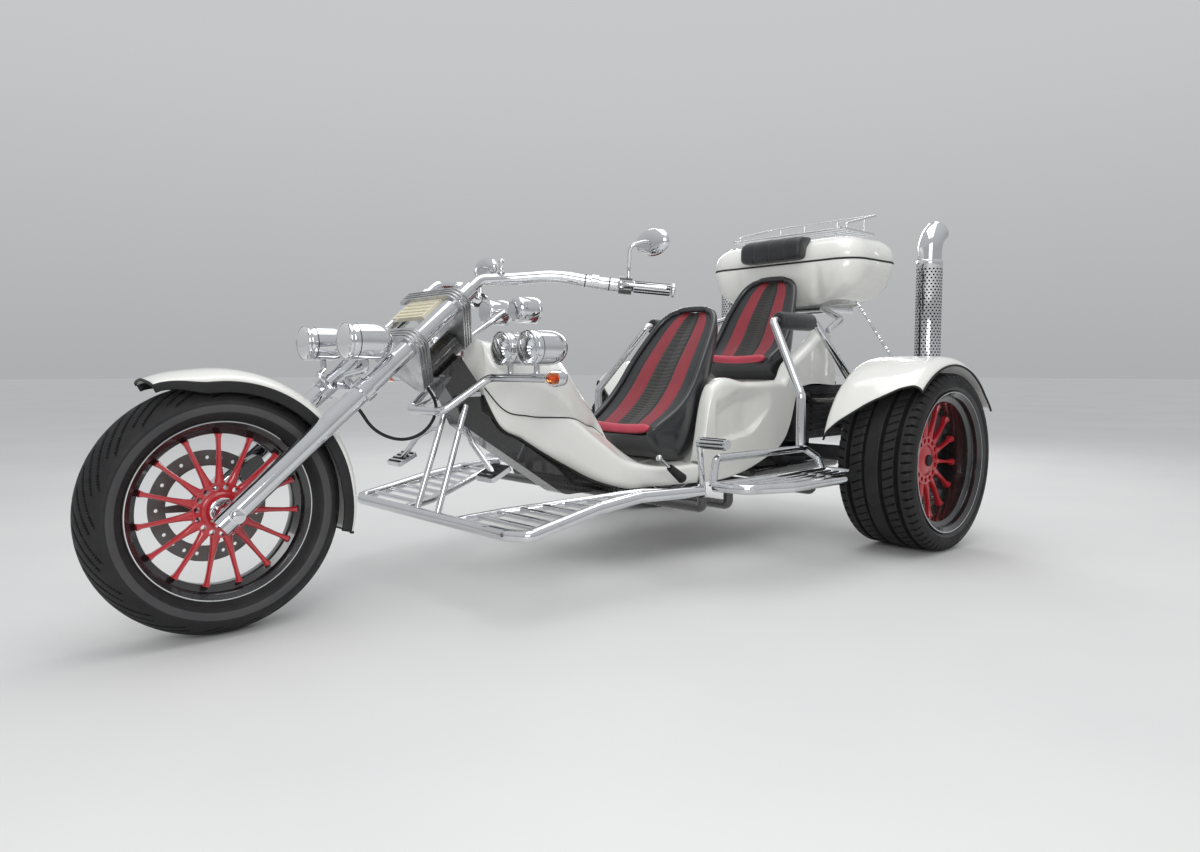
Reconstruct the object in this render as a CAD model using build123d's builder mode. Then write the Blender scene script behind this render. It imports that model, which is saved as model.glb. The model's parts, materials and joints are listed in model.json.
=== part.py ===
# Motorized trike: a raked chrome fork, a white body with two seats in line and two wide rear wheels.
# Millimetres. +X is forward, +Y is the rider's left and +Z is up.
# The origin is on the ground, on the centre plane, midway between the front and rear ends.
# A station is a distance behind the front axle.
import os
from math import cos, radians, sin

from build123d import *

os.makedirs("parts", exist_ok=True)

# Overall layout
overall_length = 3250
wheelbase = 2375
running_gap = 0.3
pin_clearance = 0.05

# Front wheel
front_tyre_radius = 328
front_tyre_width = 170
front_lip_radius = 236
front_rim_width = 114
front_axle_radius = 12
front_hub_radius = 48
front_flange_radius = 72
spoke_count = 15

# Rear wheels
rear_tyre_radius = 340
rear_tyre_width = 300
rear_lip_radius = 270
rear_rim_width = 284
rear_wheel_side = 718
rear_hub_face = 50
rear_axle_radius = 22
rear_hub_radius = 62
rear_flange_radius = 92

# Fork and steering head
fork_slope_deg = 40.5
fork_offset = 130
fork_leg_side = 126
fork_leg_radius = 28
fork_top = 935
lower_yoke_along = 656
lower_yoke_height = 44
upper_yoke_along = 852
upper_yoke_height = 38
neck_radius = 38
neck_gap = 6
stem_radius = 17

# Frame
spine_width = 90
spine_height = 75
floor_rail_z = 250

# Body shells
wall = 5

front_axle_x = overall_length / 2 - front_tyre_radius
rear_axle_x = front_axle_x - wheelbase


def at(station, side, height):
    """Point at a station behind the front axle."""
    return (front_axle_x - station, side, height)


fork_up = (-cos(radians(fork_slope_deg)), 0, sin(radians(fork_slope_deg)))
fork_ahead = (sin(radians(fork_slope_deg)), 0, cos(radians(fork_slope_deg)))
steering_foot = (
    front_axle_x - fork_offset * fork_ahead[0],
    0,
    front_tyre_radius - fork_offset * fork_ahead[2],
)


def on_fork(along, ahead, side):
    """Point at a distance along the steering axis, ahead of it and to the side."""
    return (
        steering_foot[0] + along * fork_up[0] + ahead * fork_ahead[0],
        side,
        steering_foot[2] + along * fork_up[2] + ahead * fork_ahead[2],
    )


def fork_plane(along):
    """Plane across the steering axis: local x runs ahead and local y to the left."""
    return Plane(origin=on_fork(along, 0, 0), x_dir=fork_ahead, z_dir=fork_up)


def mirrored(points):
    return [(x, -y, z) for x, y, z in points]


def tube(points, radius, bend):
    """Round tube along straight runs joined by bends of one radius."""
    with BuildPart() as pipe:
        with BuildLine() as path:
            if len(points) == 2:
                Line(*points)
            else:
                FilletPolyline(*points, radius=bend)
        with BuildSketch(Plane(origin=path.line @ 0, z_dir=path.line % 0)):
            Circle(radius)
        sweep()
    return pipe.part


def rod(start, end, radius):
    return tube([start, end], radius, 0)


def pulled_in(outline, distance):
    """Clockwise or anticlockwise outline with each edge moved inwards by a distance."""
    count = len(outline)
    corners = [Vector(*point) for point in outline]
    area = sum(a.X * b.Y - b.X * a.Y for a, b in zip(corners, corners[1:] + corners[:1]))
    turn = 1 if area > 0 else -1
    moved = []
    for index, corner in enumerate(corners):
        run_in = (corner - corners[index - 1]).normalized()
        run_out = (corners[(index + 1) % count] - corner).normalized()
        normal_in = Vector(-run_in.Y, run_in.X) * turn
        normal_out = Vector(-run_out.Y, run_out.X) * turn
        shift = (normal_in + normal_out) * (distance / (1 + normal_in.dot(normal_out)))
        moved.append(((corner + shift).X, (corner + shift).Y))
    return moved


# Front tyre: a rounded crown over a hollow casing
bead_seat = front_lip_radius - 12
bead_side = front_rim_width / 2 - 7
crown_side = front_tyre_width / 2
casing = 14
shoulder_radius = front_tyre_radius - 0.48 * (front_tyre_radius - front_lip_radius)
lining_radius = shoulder_radius - 6
with BuildPart() as front_tyre:
    with BuildSketch(Plane(origin=(front_axle_x, 0, front_tyre_radius), x_dir=(0, 1, 0), z_dir=(1, 0, 0))):
        with BuildLine():
            outer = ThreePointArc(
                (crown_side, shoulder_radius), (0, front_tyre_radius), (-crown_side, shoulder_radius)
            )
            Polyline(
                outer @ 1,
                (-crown_side + 12, front_lip_radius + 12),
                (-bead_side + running_gap, front_lip_radius + 3),
                (-bead_side + running_gap, bead_seat + running_gap),
                (-bead_side + casing, bead_seat + running_gap),
                (-crown_side + casing, lining_radius),
            )
            inner = ThreePointArc(
                (-crown_side + casing, lining_radius),
                (0, front_tyre_radius - casing),
                (crown_side - casing, lining_radius),
            )
            Polyline(
                inner @ 1,
                (bead_side - casing, bead_seat + running_gap),
                (bead_side - running_gap, bead_seat + running_gap),
                (bead_side - running_gap, front_lip_radius + 3),
                (crown_side - 12, front_lip_radius + 12),
                outer @ 0,
            )
        make_face()
    revolve(axis=Axis((front_axle_x, 0, front_tyre_radius), (0, 1, 0)))
front_tyre.part.label = "front_tyre"
export_step(front_tyre.part, "parts/front_tyre.step")


def barrel_profile(lip_radius, half_width, drop):
    """Rim barrel section, half of it on each side of the wheel's centre plane."""
    seat = lip_radius - 12
    lip_in = half_width - 7
    return [
        (-half_width, lip_radius),
        (-lip_in, lip_radius),
        (-lip_in, seat),
        (-lip_in + 20, seat),
        (-lip_in + 30, seat - drop),
        (lip_in - 30, seat - drop),
        (lip_in - 20, seat),
        (lip_in, seat),
        (lip_in, lip_radius),
        (half_width, lip_radius),
        (half_width, lip_radius - 8),
        (lip_in - 6, seat - 8),
        (lip_in - 22, seat - 8),
        (lip_in - 32, seat - drop - 8),
        (-lip_in + 32, seat - drop - 8),
        (-lip_in + 22, seat - 8),
        (-lip_in + 6, seat - 8),
        (-half_width, lip_radius - 8),
    ]


def wheel_rim(
    centre, lip_radius, half_width, drop, hub_radius, flange_radius, hub_near, hub_far, spoke_near, spoke_far, bore
):
    """Barrel, tapered spokes, hub and drilled hub flange about the wheel's own axis along +Y."""
    well = lip_radius - 12 - drop - 8
    with BuildPart() as rim:
        with BuildSketch(Plane(origin=centre, x_dir=(0, 1, 0), z_dir=(1, 0, 0))):
            with BuildLine():
                Polyline(*barrel_profile(lip_radius, half_width, drop), close=True)
            make_face()
            with BuildLine():
                Polyline((hub_near, 0), (hub_near, hub_radius), (hub_far, hub_radius), (hub_far, 0), close=True)
            make_face()
            with BuildLine():
                Polyline(
                    (spoke_near - 2, 0), (spoke_near - 2, flange_radius), (spoke_far + 2, flange_radius),
                    (spoke_far + 2, 0), close=True,
                )
            make_face()
        revolve(axis=Axis(centre, (0, 1, 0)))
        face = Plane(origin=(centre[0], centre[1] + spoke_near, centre[2]), x_dir=(0, 0, 1), z_dir=(0, 1, 0))
        with BuildSketch(face):
            with PolarLocations(0, spoke_count):
                with BuildLine():
                    Polyline(
                        (hub_radius - 6, -hub_radius * 0.18),
                        (well * 0.62, -6),
                        (well - 26, -6),
                        (well + 4, -14),
                        (well + 4, 14),
                        (well - 26, 6),
                        (well * 0.62, 6),
                        (hub_radius - 6, hub_radius * 0.18),
                        close=True,
                    )
                make_face()
        extrude(amount=spoke_far - spoke_near)
        with BuildSketch(face.offset(-4)):
            with PolarLocations((hub_radius + flange_radius) / 2, spoke_count):
                Circle((flange_radius - hub_radius) / 3)
        extrude(amount=spoke_far - spoke_near + 8, mode=Mode.SUBTRACT)
        with BuildSketch(Plane(origin=(centre[0], centre[1] + hub_near, centre[2]), x_dir=(0, 0, 1), z_dir=(0, 1, 0))):
            Circle(bore)
        extrude(amount=hub_far - hub_near, mode=Mode.SUBTRACT)
    return rim.part


# Front wheel rim: barrel, fifteen spokes and hub
front_centre = (front_axle_x, 0, front_tyre_radius)
front_rim = wheel_rim(
    front_centre, front_lip_radius, front_rim_width / 2, 18, front_hub_radius, front_flange_radius, -44, 50, 18, 34,
    front_axle_radius + pin_clearance,
)
front_rim.label = "front_rim"
export_step(front_rim, "parts/front_rim.step")

# Front brake disc on the right side of the hub
disc_side = -70
disc_thickness = 6
disc_radius = 150
disc_hole_count = 24
with BuildPart() as front_brake_disc:
    with BuildSketch(Plane(origin=(front_axle_x, disc_side, front_tyre_radius), x_dir=(1, 0, 0), z_dir=(0, 1, 0))):
        Circle(disc_radius)
        Circle(disc_radius - 42, mode=Mode.SUBTRACT)
        with PolarLocations(disc_radius - 20, disc_hole_count):
            Circle(5, mode=Mode.SUBTRACT)
    extrude(amount=disc_thickness)
    with BuildSketch(Plane(origin=(front_axle_x, disc_side, front_tyre_radius), x_dir=(1, 0, 0), z_dir=(0, 1, 0))):
        Circle(front_hub_radius)
        with PolarLocations(0, 6):
            with BuildLine():
                Polyline(
                    (front_hub_radius - 4, -12), (disc_radius - 38, -8), (disc_radius - 38, 8),
                    (front_hub_radius - 4, 12), close=True,
                )
            make_face()
        Circle(front_axle_radius + pin_clearance, mode=Mode.SUBTRACT)
    extrude(amount=disc_thickness)
    with BuildSketch(
        Plane(origin=(front_axle_x, disc_side + disc_thickness, front_tyre_radius), x_dir=(1, 0, 0), z_dir=(0, 1, 0))
    ):
        Circle(front_hub_radius - 10)
        Circle(front_axle_radius + pin_clearance, mode=Mode.SUBTRACT)
    extrude(amount=-44 - disc_side - disc_thickness)
front_brake_disc.part.label = "front_brake_disc"
export_step(front_brake_disc.part, "parts/front_brake_disc.step")


def rear_tyre(side):
    """Wide low tyre with a nearly flat tread, centred at rear_wheel_side on one side."""
    centre = (rear_axle_x, side * rear_wheel_side, rear_tyre_radius)
    half = rear_tyre_width / 2
    seat = rear_lip_radius - 12
    bead = rear_rim_width / 2 - 7
    shoulder = rear_tyre_radius - 12
    with BuildPart() as tyre:
        with BuildSketch(Plane(origin=centre, x_dir=(0, 1, 0), z_dir=(1, 0, 0))):
            with BuildLine():
                crown = ThreePointArc((half - 22, shoulder + 8), (0, rear_tyre_radius), (22 - half, shoulder + 8))
                left = ThreePointArc(crown @ 1, (-half + 5, shoulder - 6), (-half, shoulder - 26))
                Polyline(
                    left @ 1,
                    (-bead + running_gap, rear_lip_radius + 3),
                    (-bead + running_gap, seat + running_gap),
                    (-bead + 16, seat + running_gap),
                    (-half + 16, shoulder - 30),
                    (-half + 30, shoulder - 10),
                    (half - 30, shoulder - 10),
                    (half - 16, shoulder - 30),
                    (bead - 16, seat + running_gap),
                    (bead - running_gap, seat + running_gap),
                    (bead - running_gap, rear_lip_radius + 3),
                    (half, shoulder - 26),
                )
                ThreePointArc((half, shoulder - 26), (half - 5, shoulder - 6), crown @ 0)
            make_face()
        revolve(axis=Axis(centre, (0, 1, 0)))
    return tyre.part


# Rear tyres and rims, one pair on each side, with the spokes set deep in the barrel
for side, word in ((1, "left"), (-1, "right")):
    tyre_part = rear_tyre(side)
    tyre_part.label = f"rear_tyre_{word}"
    export_step(tyre_part, f"parts/rear_tyre_{word}.step")
    rim_centre = (rear_axle_x, side * rear_wheel_side, rear_tyre_radius)
    if side > 0:
        hub_near, hub_far, spoke_near, spoke_far = -30, rear_hub_face, 20, 40
    else:
        hub_near, hub_far, spoke_near, spoke_far = -rear_hub_face, 30, -40, -20
    rim_part = wheel_rim(
        rim_centre, rear_lip_radius, rear_rim_width / 2, 22, rear_hub_radius, rear_flange_radius, hub_near, hub_far,
        spoke_near, spoke_far, rear_axle_radius + pin_clearance,
    )
    rim_part.label = f"rear_rim_{word}"
    export_step(rim_part, f"parts/rear_rim_{word}.step")

# Fork legs: two polished tubes with the axle through their lower ends
leg_foot = -46
axle_half = fork_leg_side + fork_leg_radius + 6
leg_rods = [
    rod(on_fork(leg_foot, fork_offset, side * fork_leg_side), on_fork(fork_top, fork_offset, side * fork_leg_side),
        fork_leg_radius)
    for side in (1, -1)
]
axle_rod = rod((front_axle_x, -axle_half, front_tyre_radius), (front_axle_x, axle_half, front_tyre_radius),
               front_axle_radius)
with BuildPart() as fork_legs:
    add(leg_rods)
    add(axle_rod)
fork_legs.part.label = "fork_legs"
export_step(fork_legs.part, "parts/fork_legs.step")


def yoke_outline(along, grow):
    """Outline of a yoke: both leg clamps and the stem boss inside one hull."""
    with BuildSketch(fork_plane(along)) as outline:
        with Locations((fork_offset, fork_leg_side), (fork_offset, -fork_leg_side)):
            Circle(fork_leg_radius + 12 + grow)
        Circle(44 + grow)
        make_hull()
    return outline.sketch


# Yokes: finned upper and lower clamps on one steering stem
fin_pitch = 11
fin_thickness = 5
yoke_spans = ((lower_yoke_along, lower_yoke_height), (upper_yoke_along, upper_yoke_height))
stem_top = upper_yoke_along + upper_yoke_height + 12
yoke_core = [extrude(yoke_outline(along, -4), amount=height) for along, height in yoke_spans]
yoke_fins = [
    extrude(yoke_outline(min(along + step * fin_pitch, along + height - fin_thickness), 0), amount=fin_thickness)
    for along, height in yoke_spans
    for step in range(int(height / fin_pitch) + 1)
]
stem = rod(on_fork(lower_yoke_along, 0, 0), on_fork(stem_top, 0, 0), stem_radius)
with BuildPart() as yokes:
    add(yoke_core)
    add(yoke_fins)
    add(stem)
    for along, height in yoke_spans:
        with BuildSketch(fork_plane(along - 1)):
            with Locations((fork_offset, fork_leg_side), (fork_offset, -fork_leg_side)):
                Circle(fork_leg_radius + 0.2)
        extrude(amount=height + 2, mode=Mode.SUBTRACT)
yokes.part.label = "yokes"
export_step(yokes.part, "parts/yokes.step")

# Louvred cover on the front of the fork, below the upper yoke
yoke_space = upper_yoke_along - lower_yoke_along - lower_yoke_height
cover_along = upper_yoke_along - 0.55 * yoke_space
cover_length = 0.46 * yoke_space
louvre_pitch = cover_length / 4.1
cover_half = fork_leg_side - fork_leg_radius - 6
with BuildPart() as fork_cover:
    with BuildSketch(fork_plane(cover_along)):
        with Locations((fork_offset + 22, 0)):
            Rectangle(14, 2 * cover_half)
    extrude(amount=cover_length)
    for step in range(4):
        with BuildSketch(fork_plane(cover_along + (step + 0.35) * louvre_pitch)):
            with Locations((fork_offset + 28, 0)):
                Rectangle(8, 2 * cover_half - 16)
        extrude(amount=0.47 * louvre_pitch, mode=Mode.SUBTRACT)
    with BuildSketch(fork_plane(cover_along + cover_length)):
        with Locations((fork_offset + 10, 0)):
            Rectangle(38, 2 * cover_half)
    extrude(amount=upper_yoke_along - cover_along - cover_length)
fork_cover.part.label = "fork_cover"
export_step(fork_cover.part, "parts/fork_cover.step")

# Handlebar: a tube rises from each fork leg and sweeps back to the grip
bar_radius = 19
switch_inner = at(1090, 384, 953)
grip_direction = Vector(-92, 84, -12).normalized()
switch_length = 40
grip_length = 125
grip_radius = 18


def along_grip(distance):
    point = Vector(*switch_inner) + grip_direction * distance
    return (point.X, point.Y, point.Z)


bar_points = [
    on_fork(fork_top, fork_offset, fork_leg_side),
    on_fork(fork_top + 45, fork_offset, fork_leg_side),
    at(845, 176, 972),
    at(940, 252, 982),
    along_grip(-70),
    along_grip(0),
]
bar_left = tube(bar_points, bar_radius, 40)
bar_right = tube(mirrored(bar_points), bar_radius, 40)
with BuildPart() as handlebar:
    add(bar_left)
    add(bar_right)
handlebar.part.label = "handlebar"
export_step(handlebar.part, "parts/handlebar.step")

with BuildPart() as switch_blocks:
    with BuildSketch(Plane(origin=along_grip(0), x_dir=(0, 0, 1), z_dir=grip_direction)):
        RectangleRounded(52, 46, 12)
    extrude(amount=switch_length)
    mirror(about=Plane.XZ)
switch_blocks.part.label = "switch_blocks"
export_step(switch_blocks.part, "parts/switch_blocks.step")

with BuildPart() as grips:
    with BuildSketch(Plane(origin=along_grip(switch_length), x_dir=(0, 0, 1), z_dir=grip_direction)):
        Circle(grip_radius)
    extrude(amount=grip_length)
    mirror(about=Plane.XZ)
grips.part.label = "grips"
export_step(grips.part, "parts/grips.step")

# Mirrors: a curved stem and a teardrop head on each switch block
mirror_head = at(1150, 452, 1085)
mirror_depth = 26
mirror_stem = [
    at(1112, 405, 977),
    at(1112, 405, 1010),
    at(1098, 425, 1070),
    at(1134, 448, 1085),
    at(1160, 456, 1085),
]
stem_tube = tube(mirror_stem, 6, 18)
with BuildPart() as mirrors:
    add(stem_tube)
    with BuildSketch(Plane(origin=mirror_head, x_dir=(0, 1, 0), z_dir=(-1, 0, 0))):
        Ellipse(68, 42)
    extrude(amount=mirror_depth)
    mirror(about=Plane.XZ)
mirrors.part.label = "mirrors"
export_step(mirrors.part, "parts/mirrors.step")

# Front fender over the tyre, held by the fork legs
fender_start_deg = 66
fender_sweep_deg = 130
fender_half = 93
fender_crown = front_tyre_radius + 40
fender_edge = front_tyre_radius - 6
fender_wall = 3
start_dir = (cos(radians(fender_start_deg)), 0, sin(radians(fender_start_deg)))
with BuildPart() as front_fender:
    with BuildSketch(
        Plane(origin=front_centre, x_dir=(0, 1, 0), z_dir=(start_dir[2], 0, -start_dir[0]))
    ):
        with BuildLine():
            Line((fender_half, fender_edge), (fender_half, fender_crown - 26))
            ThreePointArc((fender_half, fender_crown - 26), (0, fender_crown), (-fender_half, fender_crown - 26))
            Polyline(
                (-fender_half, fender_crown - 26), (-fender_half, fender_edge),
                (-fender_half + fender_wall, fender_edge), (-fender_half + fender_wall, fender_crown - 28),
            )
            ThreePointArc(
                (-fender_half + fender_wall, fender_crown - 28), (0, fender_crown - fender_wall),
                (fender_half - fender_wall, fender_crown - 28),
            )
            Polyline(
                (fender_half - fender_wall, fender_crown - 28), (fender_half - fender_wall, fender_edge),
                (fender_half, fender_edge),
            )
        make_face()
    revolve(axis=Axis(front_centre, (0, -1, 0)), revolution_arc=fender_sweep_deg)
    for side in (1, -1):
        with BuildSketch(
            Plane(origin=on_fork(fender_edge + 9, fork_offset, side * (fender_half - 2)), z_dir=(0, side, 0))
        ):
            Circle(9)
        extrude(amount=fork_leg_side - fork_leg_radius - fender_half + 2 - running_gap)
front_fender.part.label = "front_fender"
export_step(front_fender.part, "parts/front_fender.step")

# Brake caliper on the right fork leg, over the disc's rim
caliper_width = 44
caliper_reach = 178
caliper_deg = 152
caliper_dir = (cos(radians(caliper_deg)), 0, sin(radians(caliper_deg)))
caliper_outer = disc_side + disc_thickness / 2 - caliper_width / 2 + 4
caliper_plane = Plane(
    origin=(front_axle_x, caliper_outer, front_tyre_radius),
    x_dir=caliper_dir, z_dir=(0, 1, 0),
)
with BuildPart() as brake_caliper:
    with BuildSketch(caliper_plane):
        with Locations(((caliper_reach + disc_radius - 44) / 2, 0)):
            RectangleRounded(caliper_reach - disc_radius + 44, 110, 10)
    extrude(amount=caliper_width - 8)
    with BuildSketch(Plane(origin=(front_axle_x, disc_side - 3, front_tyre_radius), x_dir=(1, 0, 0),
                           z_dir=(0, 1, 0))):
        Circle(disc_radius + 5)
    extrude(amount=disc_thickness + 6, mode=Mode.SUBTRACT)
    with BuildSketch(Plane(origin=on_fork(disc_radius - 8, fork_offset, caliper_outer), z_dir=(0, -1, 0))):
        Circle(12)
    extrude(amount=caliper_outer + fork_leg_side - fork_leg_radius - running_gap)
brake_caliper.part.label = "brake_caliper"
export_step(brake_caliper.part, "parts/brake_caliper.step")

# Lamps: bullet housings that face forward
lamp_radius = 52
lamp_length = 135


def bullet(face, radius, length):
    """Bullet housing whose open face looks forward at the given point."""
    with BuildPart() as shell:
        with BuildSketch(Plane(origin=face, x_dir=(-1, 0, 0), z_dir=(0, -1, 0))):
            with BuildLine():
                Polyline((12, 0), (12, radius - 5), (0, radius - 5), (0, radius), (length * 0.55, radius))
                ThreePointArc(
                    (length * 0.55, radius), (length * 0.85, radius * 0.72), (length, radius * 0.2)
                )
                Polyline((length, radius * 0.2), (length, 0), (12, 0))
            make_face()
        revolve(axis=Axis(face, (1, 0, 0)))
    return shell.part


# Front pair on a brace between the fork legs
front_lamp_side = 136
front_lamp_face = at(300, front_lamp_side, 770)
front_lamp_shells = [
    bullet((front_lamp_face[0], side * front_lamp_side, front_lamp_face[2]), lamp_radius, lamp_length)
    for side in (1, -1)
]
with BuildPart() as front_lamps:
    add(front_lamp_shells)
front_lamps.part.label = "front_lamps"
export_step(front_lamps.part, "parts/front_lamps.step")

brace_along = 455
brace_height = 30
stalk_foot = on_fork(brace_along + brace_height / 2, fork_offset + 10, 0)
lamp_seat = (front_lamp_face[0] - 60, front_lamp_side, front_lamp_face[2] - lamp_radius - running_gap)
stalk_points = [
    (stalk_foot[0], fork_leg_side - 46, stalk_foot[2]),
    (stalk_foot[0] + 30, fork_leg_side - 40, stalk_foot[2] + 34),
    (lamp_seat[0], lamp_seat[1], lamp_seat[2] - 26),
    lamp_seat,
]
stalks = [tube(stalk_points, 9, 10), tube(mirrored(stalk_points), 9, 10)]
with BuildPart() as lamp_brace:
    with BuildSketch(fork_plane(brace_along)):
        with Locations((fork_offset, 0)):
            Rectangle(36, 2 * (fork_leg_side + fork_leg_radius - 14))
        with Locations((fork_offset, fork_leg_side), (fork_offset, -fork_leg_side)):
            Circle(fork_leg_radius + 8)
    extrude(amount=brace_height)
    with BuildSketch(fork_plane(brace_along - 1)):
        with Locations((fork_offset, fork_leg_side), (fork_offset, -fork_leg_side)):
            Circle(fork_leg_radius + 0.2)
    extrude(amount=brace_height + 2, mode=Mode.SUBTRACT)
    add(stalks)
lamp_brace.part.label = "lamp_brace"
export_step(lamp_brace.part, "parts/lamp_brace.step")

# Gauges: two cups behind the upper yoke on one cross tube
gauge_radius = 44
gauge_length = 84
gauge_face = at(906, 84, 885)
gauge_bar_x = gauge_face[0] - 30
gauge_stand = tube([
    on_fork(upper_yoke_along + upper_yoke_height + running_gap, -30, 0),
    on_fork(upper_yoke_along + upper_yoke_height + 26, -30, 0),
    (gauge_bar_x, 0, gauge_face[2]),
], 9, 12)
gauge_bar = rod((gauge_bar_x, -gauge_face[1], gauge_face[2]), (gauge_bar_x, gauge_face[1], gauge_face[2]), 9)
with BuildPart() as gauges:
    for side in (1, -1):
        with BuildSketch(Plane(origin=(gauge_face[0], side * gauge_face[1], gauge_face[2]), x_dir=(0, 1, 0),
                               z_dir=(-1, 0, 0))):
            Circle(gauge_radius)
        extrude(amount=gauge_length)
    add(gauge_stand)
    add(gauge_bar)
gauges.part.label = "gauges"
export_step(gauges.part, "parts/gauges.step")

# Frame: head tube, box spine that falls to the floor, outriggers and rear engine cradle
neck_low = lower_yoke_along + lower_yoke_height + neck_gap
neck_high = upper_yoke_along - neck_gap
spine_end = 2010
spine_top_z = floor_rail_z + spine_height
nose_low = on_fork(neck_low + 8, -neck_radius + 8, 0)
nose_top = on_fork(neck_high - 30, -neck_radius + 8, 0)
chin = at(705, 0, 588)
spine_outline = [
    nose_low, chin, at(739, 0, 512), at(1150, 0, floor_rail_z), at(spine_end, 0, floor_rail_z),
    at(spine_end, 0, spine_top_z), at(1205, 0, spine_top_z), at(806, 0, 556), at(790, 0, 650), nose_top,
]
spine_radii = [2, 20, 30, 90, 2, 2, 60, 20, 30, 2]
outrigger_radius = 16
outrigger_z = 252
hoop_cross_station = 1290
hoop_side = 560
board_rail_side = 575
hoop_z = 306
hoop_radius = 18
board_z = 318
board_rail_radius = 15
# Columns: station, side of the post, top of the post
outrigger_table = (
    (hoop_cross_station, hoop_side, hoop_z - hoop_radius - running_gap),
    (1400, board_rail_side, board_z - board_rail_radius - running_gap),
    (1880, board_rail_side, board_z - board_rail_radius - running_gap),
)
cradle_side = 150
cradle_rail_z = 262
cradle_rail_radius = 20
cradle_end = 2700
head_tube = rod(on_fork(neck_low, 0, 0), on_fork(neck_high, 0, 0), neck_radius)
outriggers = [
    tube([
        at(station, -side, top), at(station, -side, outrigger_z), at(station, side, outrigger_z),
        at(station, side, top),
    ], outrigger_radius, 18)
    for station, side, top in outrigger_table
]
cradle_rails = [
    tube([
        at(spine_end - 50, side * 20, floor_rail_z + spine_height / 2), at(2060, side * cradle_side, cradle_rail_z),
        at(cradle_end, side * cradle_side, cradle_rail_z),
    ], cradle_rail_radius, 40)
    for side in (1, -1)
]
cradle_ties = [
    rod(at(station, -cradle_side, cradle_rail_z), at(station, cradle_side, cradle_rail_z), 18)
    for station in (2150, cradle_end - 40)
]
with BuildPart() as frame:
    with BuildSketch(Plane.XZ):
        with BuildLine():
            FilletPolyline(*[point[::2] for point in spine_outline], radius=spine_radii, close=True)
        make_face()
    extrude(amount=spine_width / 2, both=True)
    add(head_tube)
    add(outriggers)
    add(cradle_rails)
    add(cradle_ties)
    with BuildSketch(fork_plane(neck_low - 1)):
        Circle(stem_radius + pin_clearance)
    extrude(amount=neck_high - neck_low + 2, mode=Mode.SUBTRACT)
frame.part.label = "frame"
export_step(frame.part, "parts/frame.step")

# Fixed lamp bar: a cross piece under the head tube that bends out to both sides
bar_cross = at(623, 0, 563)
bar_out = at(762, 0, 667)
bar_half = 440
side_bar_radius = 13
side_lamp_sides = (212, 342)
side_lamp_face_station = 762
side_lamp_z = 755
lamp_post_x = bar_out[0] - 36
lamp_bar_points = [
    (bar_out[0], bar_half, bar_out[2]),
    (bar_out[0], 150, bar_out[2]),
    (bar_cross[0], 96, bar_cross[2]),
    (bar_cross[0], -96, bar_cross[2]),
    (bar_out[0], -150, bar_out[2]),
    (bar_out[0], -bar_half, bar_out[2]),
]
lamp_bar_tube = tube(lamp_bar_points, side_bar_radius, 36)
lamp_posts = [
    tube([
        (bar_out[0], side * lamp_side, bar_out[2]),
        (lamp_post_x, side * lamp_side, bar_out[2] + 8),
        (lamp_post_x, side * lamp_side, side_lamp_z - lamp_radius - running_gap),
    ], 9, 10)
    for side in (1, -1)
    for lamp_side in side_lamp_sides
]
bar_stay_radius = 9
bar_stay_side = spine_width / 2 + bar_stay_radius + running_gap
bar_stays = [
    tube([
        (bar_cross[0], side * 88, bar_cross[2]), at(735, side * bar_stay_side, 612),
        at(790, side * bar_stay_side, 612),
    ], bar_stay_radius, 20)
    for side in (1, -1)
]
with BuildPart() as lamp_bar:
    add(lamp_bar_tube)
    add(lamp_posts)
    add(bar_stays)
lamp_bar.part.label = "lamp_bar"
export_step(lamp_bar.part, "parts/lamp_bar.step")

side_lamp_shells = [
    bullet(at(side_lamp_face_station, side * lamp_side, side_lamp_z), lamp_radius, lamp_length)
    for side in (1, -1)
    for lamp_side in side_lamp_sides
]
with BuildPart() as side_lamps:
    add(side_lamp_shells)
side_lamps.part.label = "side_lamps"
export_step(side_lamps.part, "parts/side_lamps.step")

# Turn signals at the ends of the lamp bar
signal_radius = 24
signal_shells = [
    bullet((bar_out[0] + 28, side * (bar_half + signal_radius + running_gap), bar_out[2]), signal_radius, 74)
    for side in (1, -1)
]
with BuildPart() as turn_signals:
    add(signal_shells)
turn_signals.part.label = "turn_signals"
export_step(turn_signals.part, "parts/turn_signals.step")

# Front hoop: the tube ring that carries the driver's foot boards, with cross slats
hoop_front = 622
hoop_low = 236
hoop_half = 470
hoop_points = [
    at(hoop_cross_station, hoop_side, hoop_z),
    at(1070, 505, 304),
    at(900, 492, 284),
    at(hoop_front + 30, hoop_half + 20, hoop_low),
    at(hoop_front, hoop_half - 40, hoop_low),
]
hoop_ring = hoop_points + mirrored(hoop_points)[::-1]
inner_points = [
    at(hoop_front, 150, hoop_low), at(760, 190, hoop_low + 14), at(1150, 420, 300), at(1215, 520, 305),
]
slat_count = 8
slat_first = 700
slat_pitch = 60
slat_radius = 8
hoop_tubes = [tube(hoop_ring, hoop_radius, 24), tube(inner_points, 13, 40), tube(mirrored(inner_points), 13, 40)]
hoop_slats = [
    rod(at(slat_first + step * slat_pitch, side * (165 + step * 33), 246 + step * 7),
        at(slat_first + step * slat_pitch, side * 500, 246 + step * 8), slat_radius)
    for side in (1, -1)
    for step in range(slat_count)
]
strut_side = 62
strut_top = at(738, spine_width / 2 + 10 + running_gap, 580)
hoop_struts = [
    rod(at(hoop_front, side * strut_side, hoop_low), (strut_top[0], side * strut_top[1], strut_top[2]), 10)
    for side in (1, -1)
]
with BuildPart() as front_hoop:
    add(hoop_tubes)
    add(hoop_slats)
    add(hoop_struts)
front_hoop.part.label = "front_hoop"
export_step(front_hoop.part, "parts/front_hoop.step")

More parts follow.
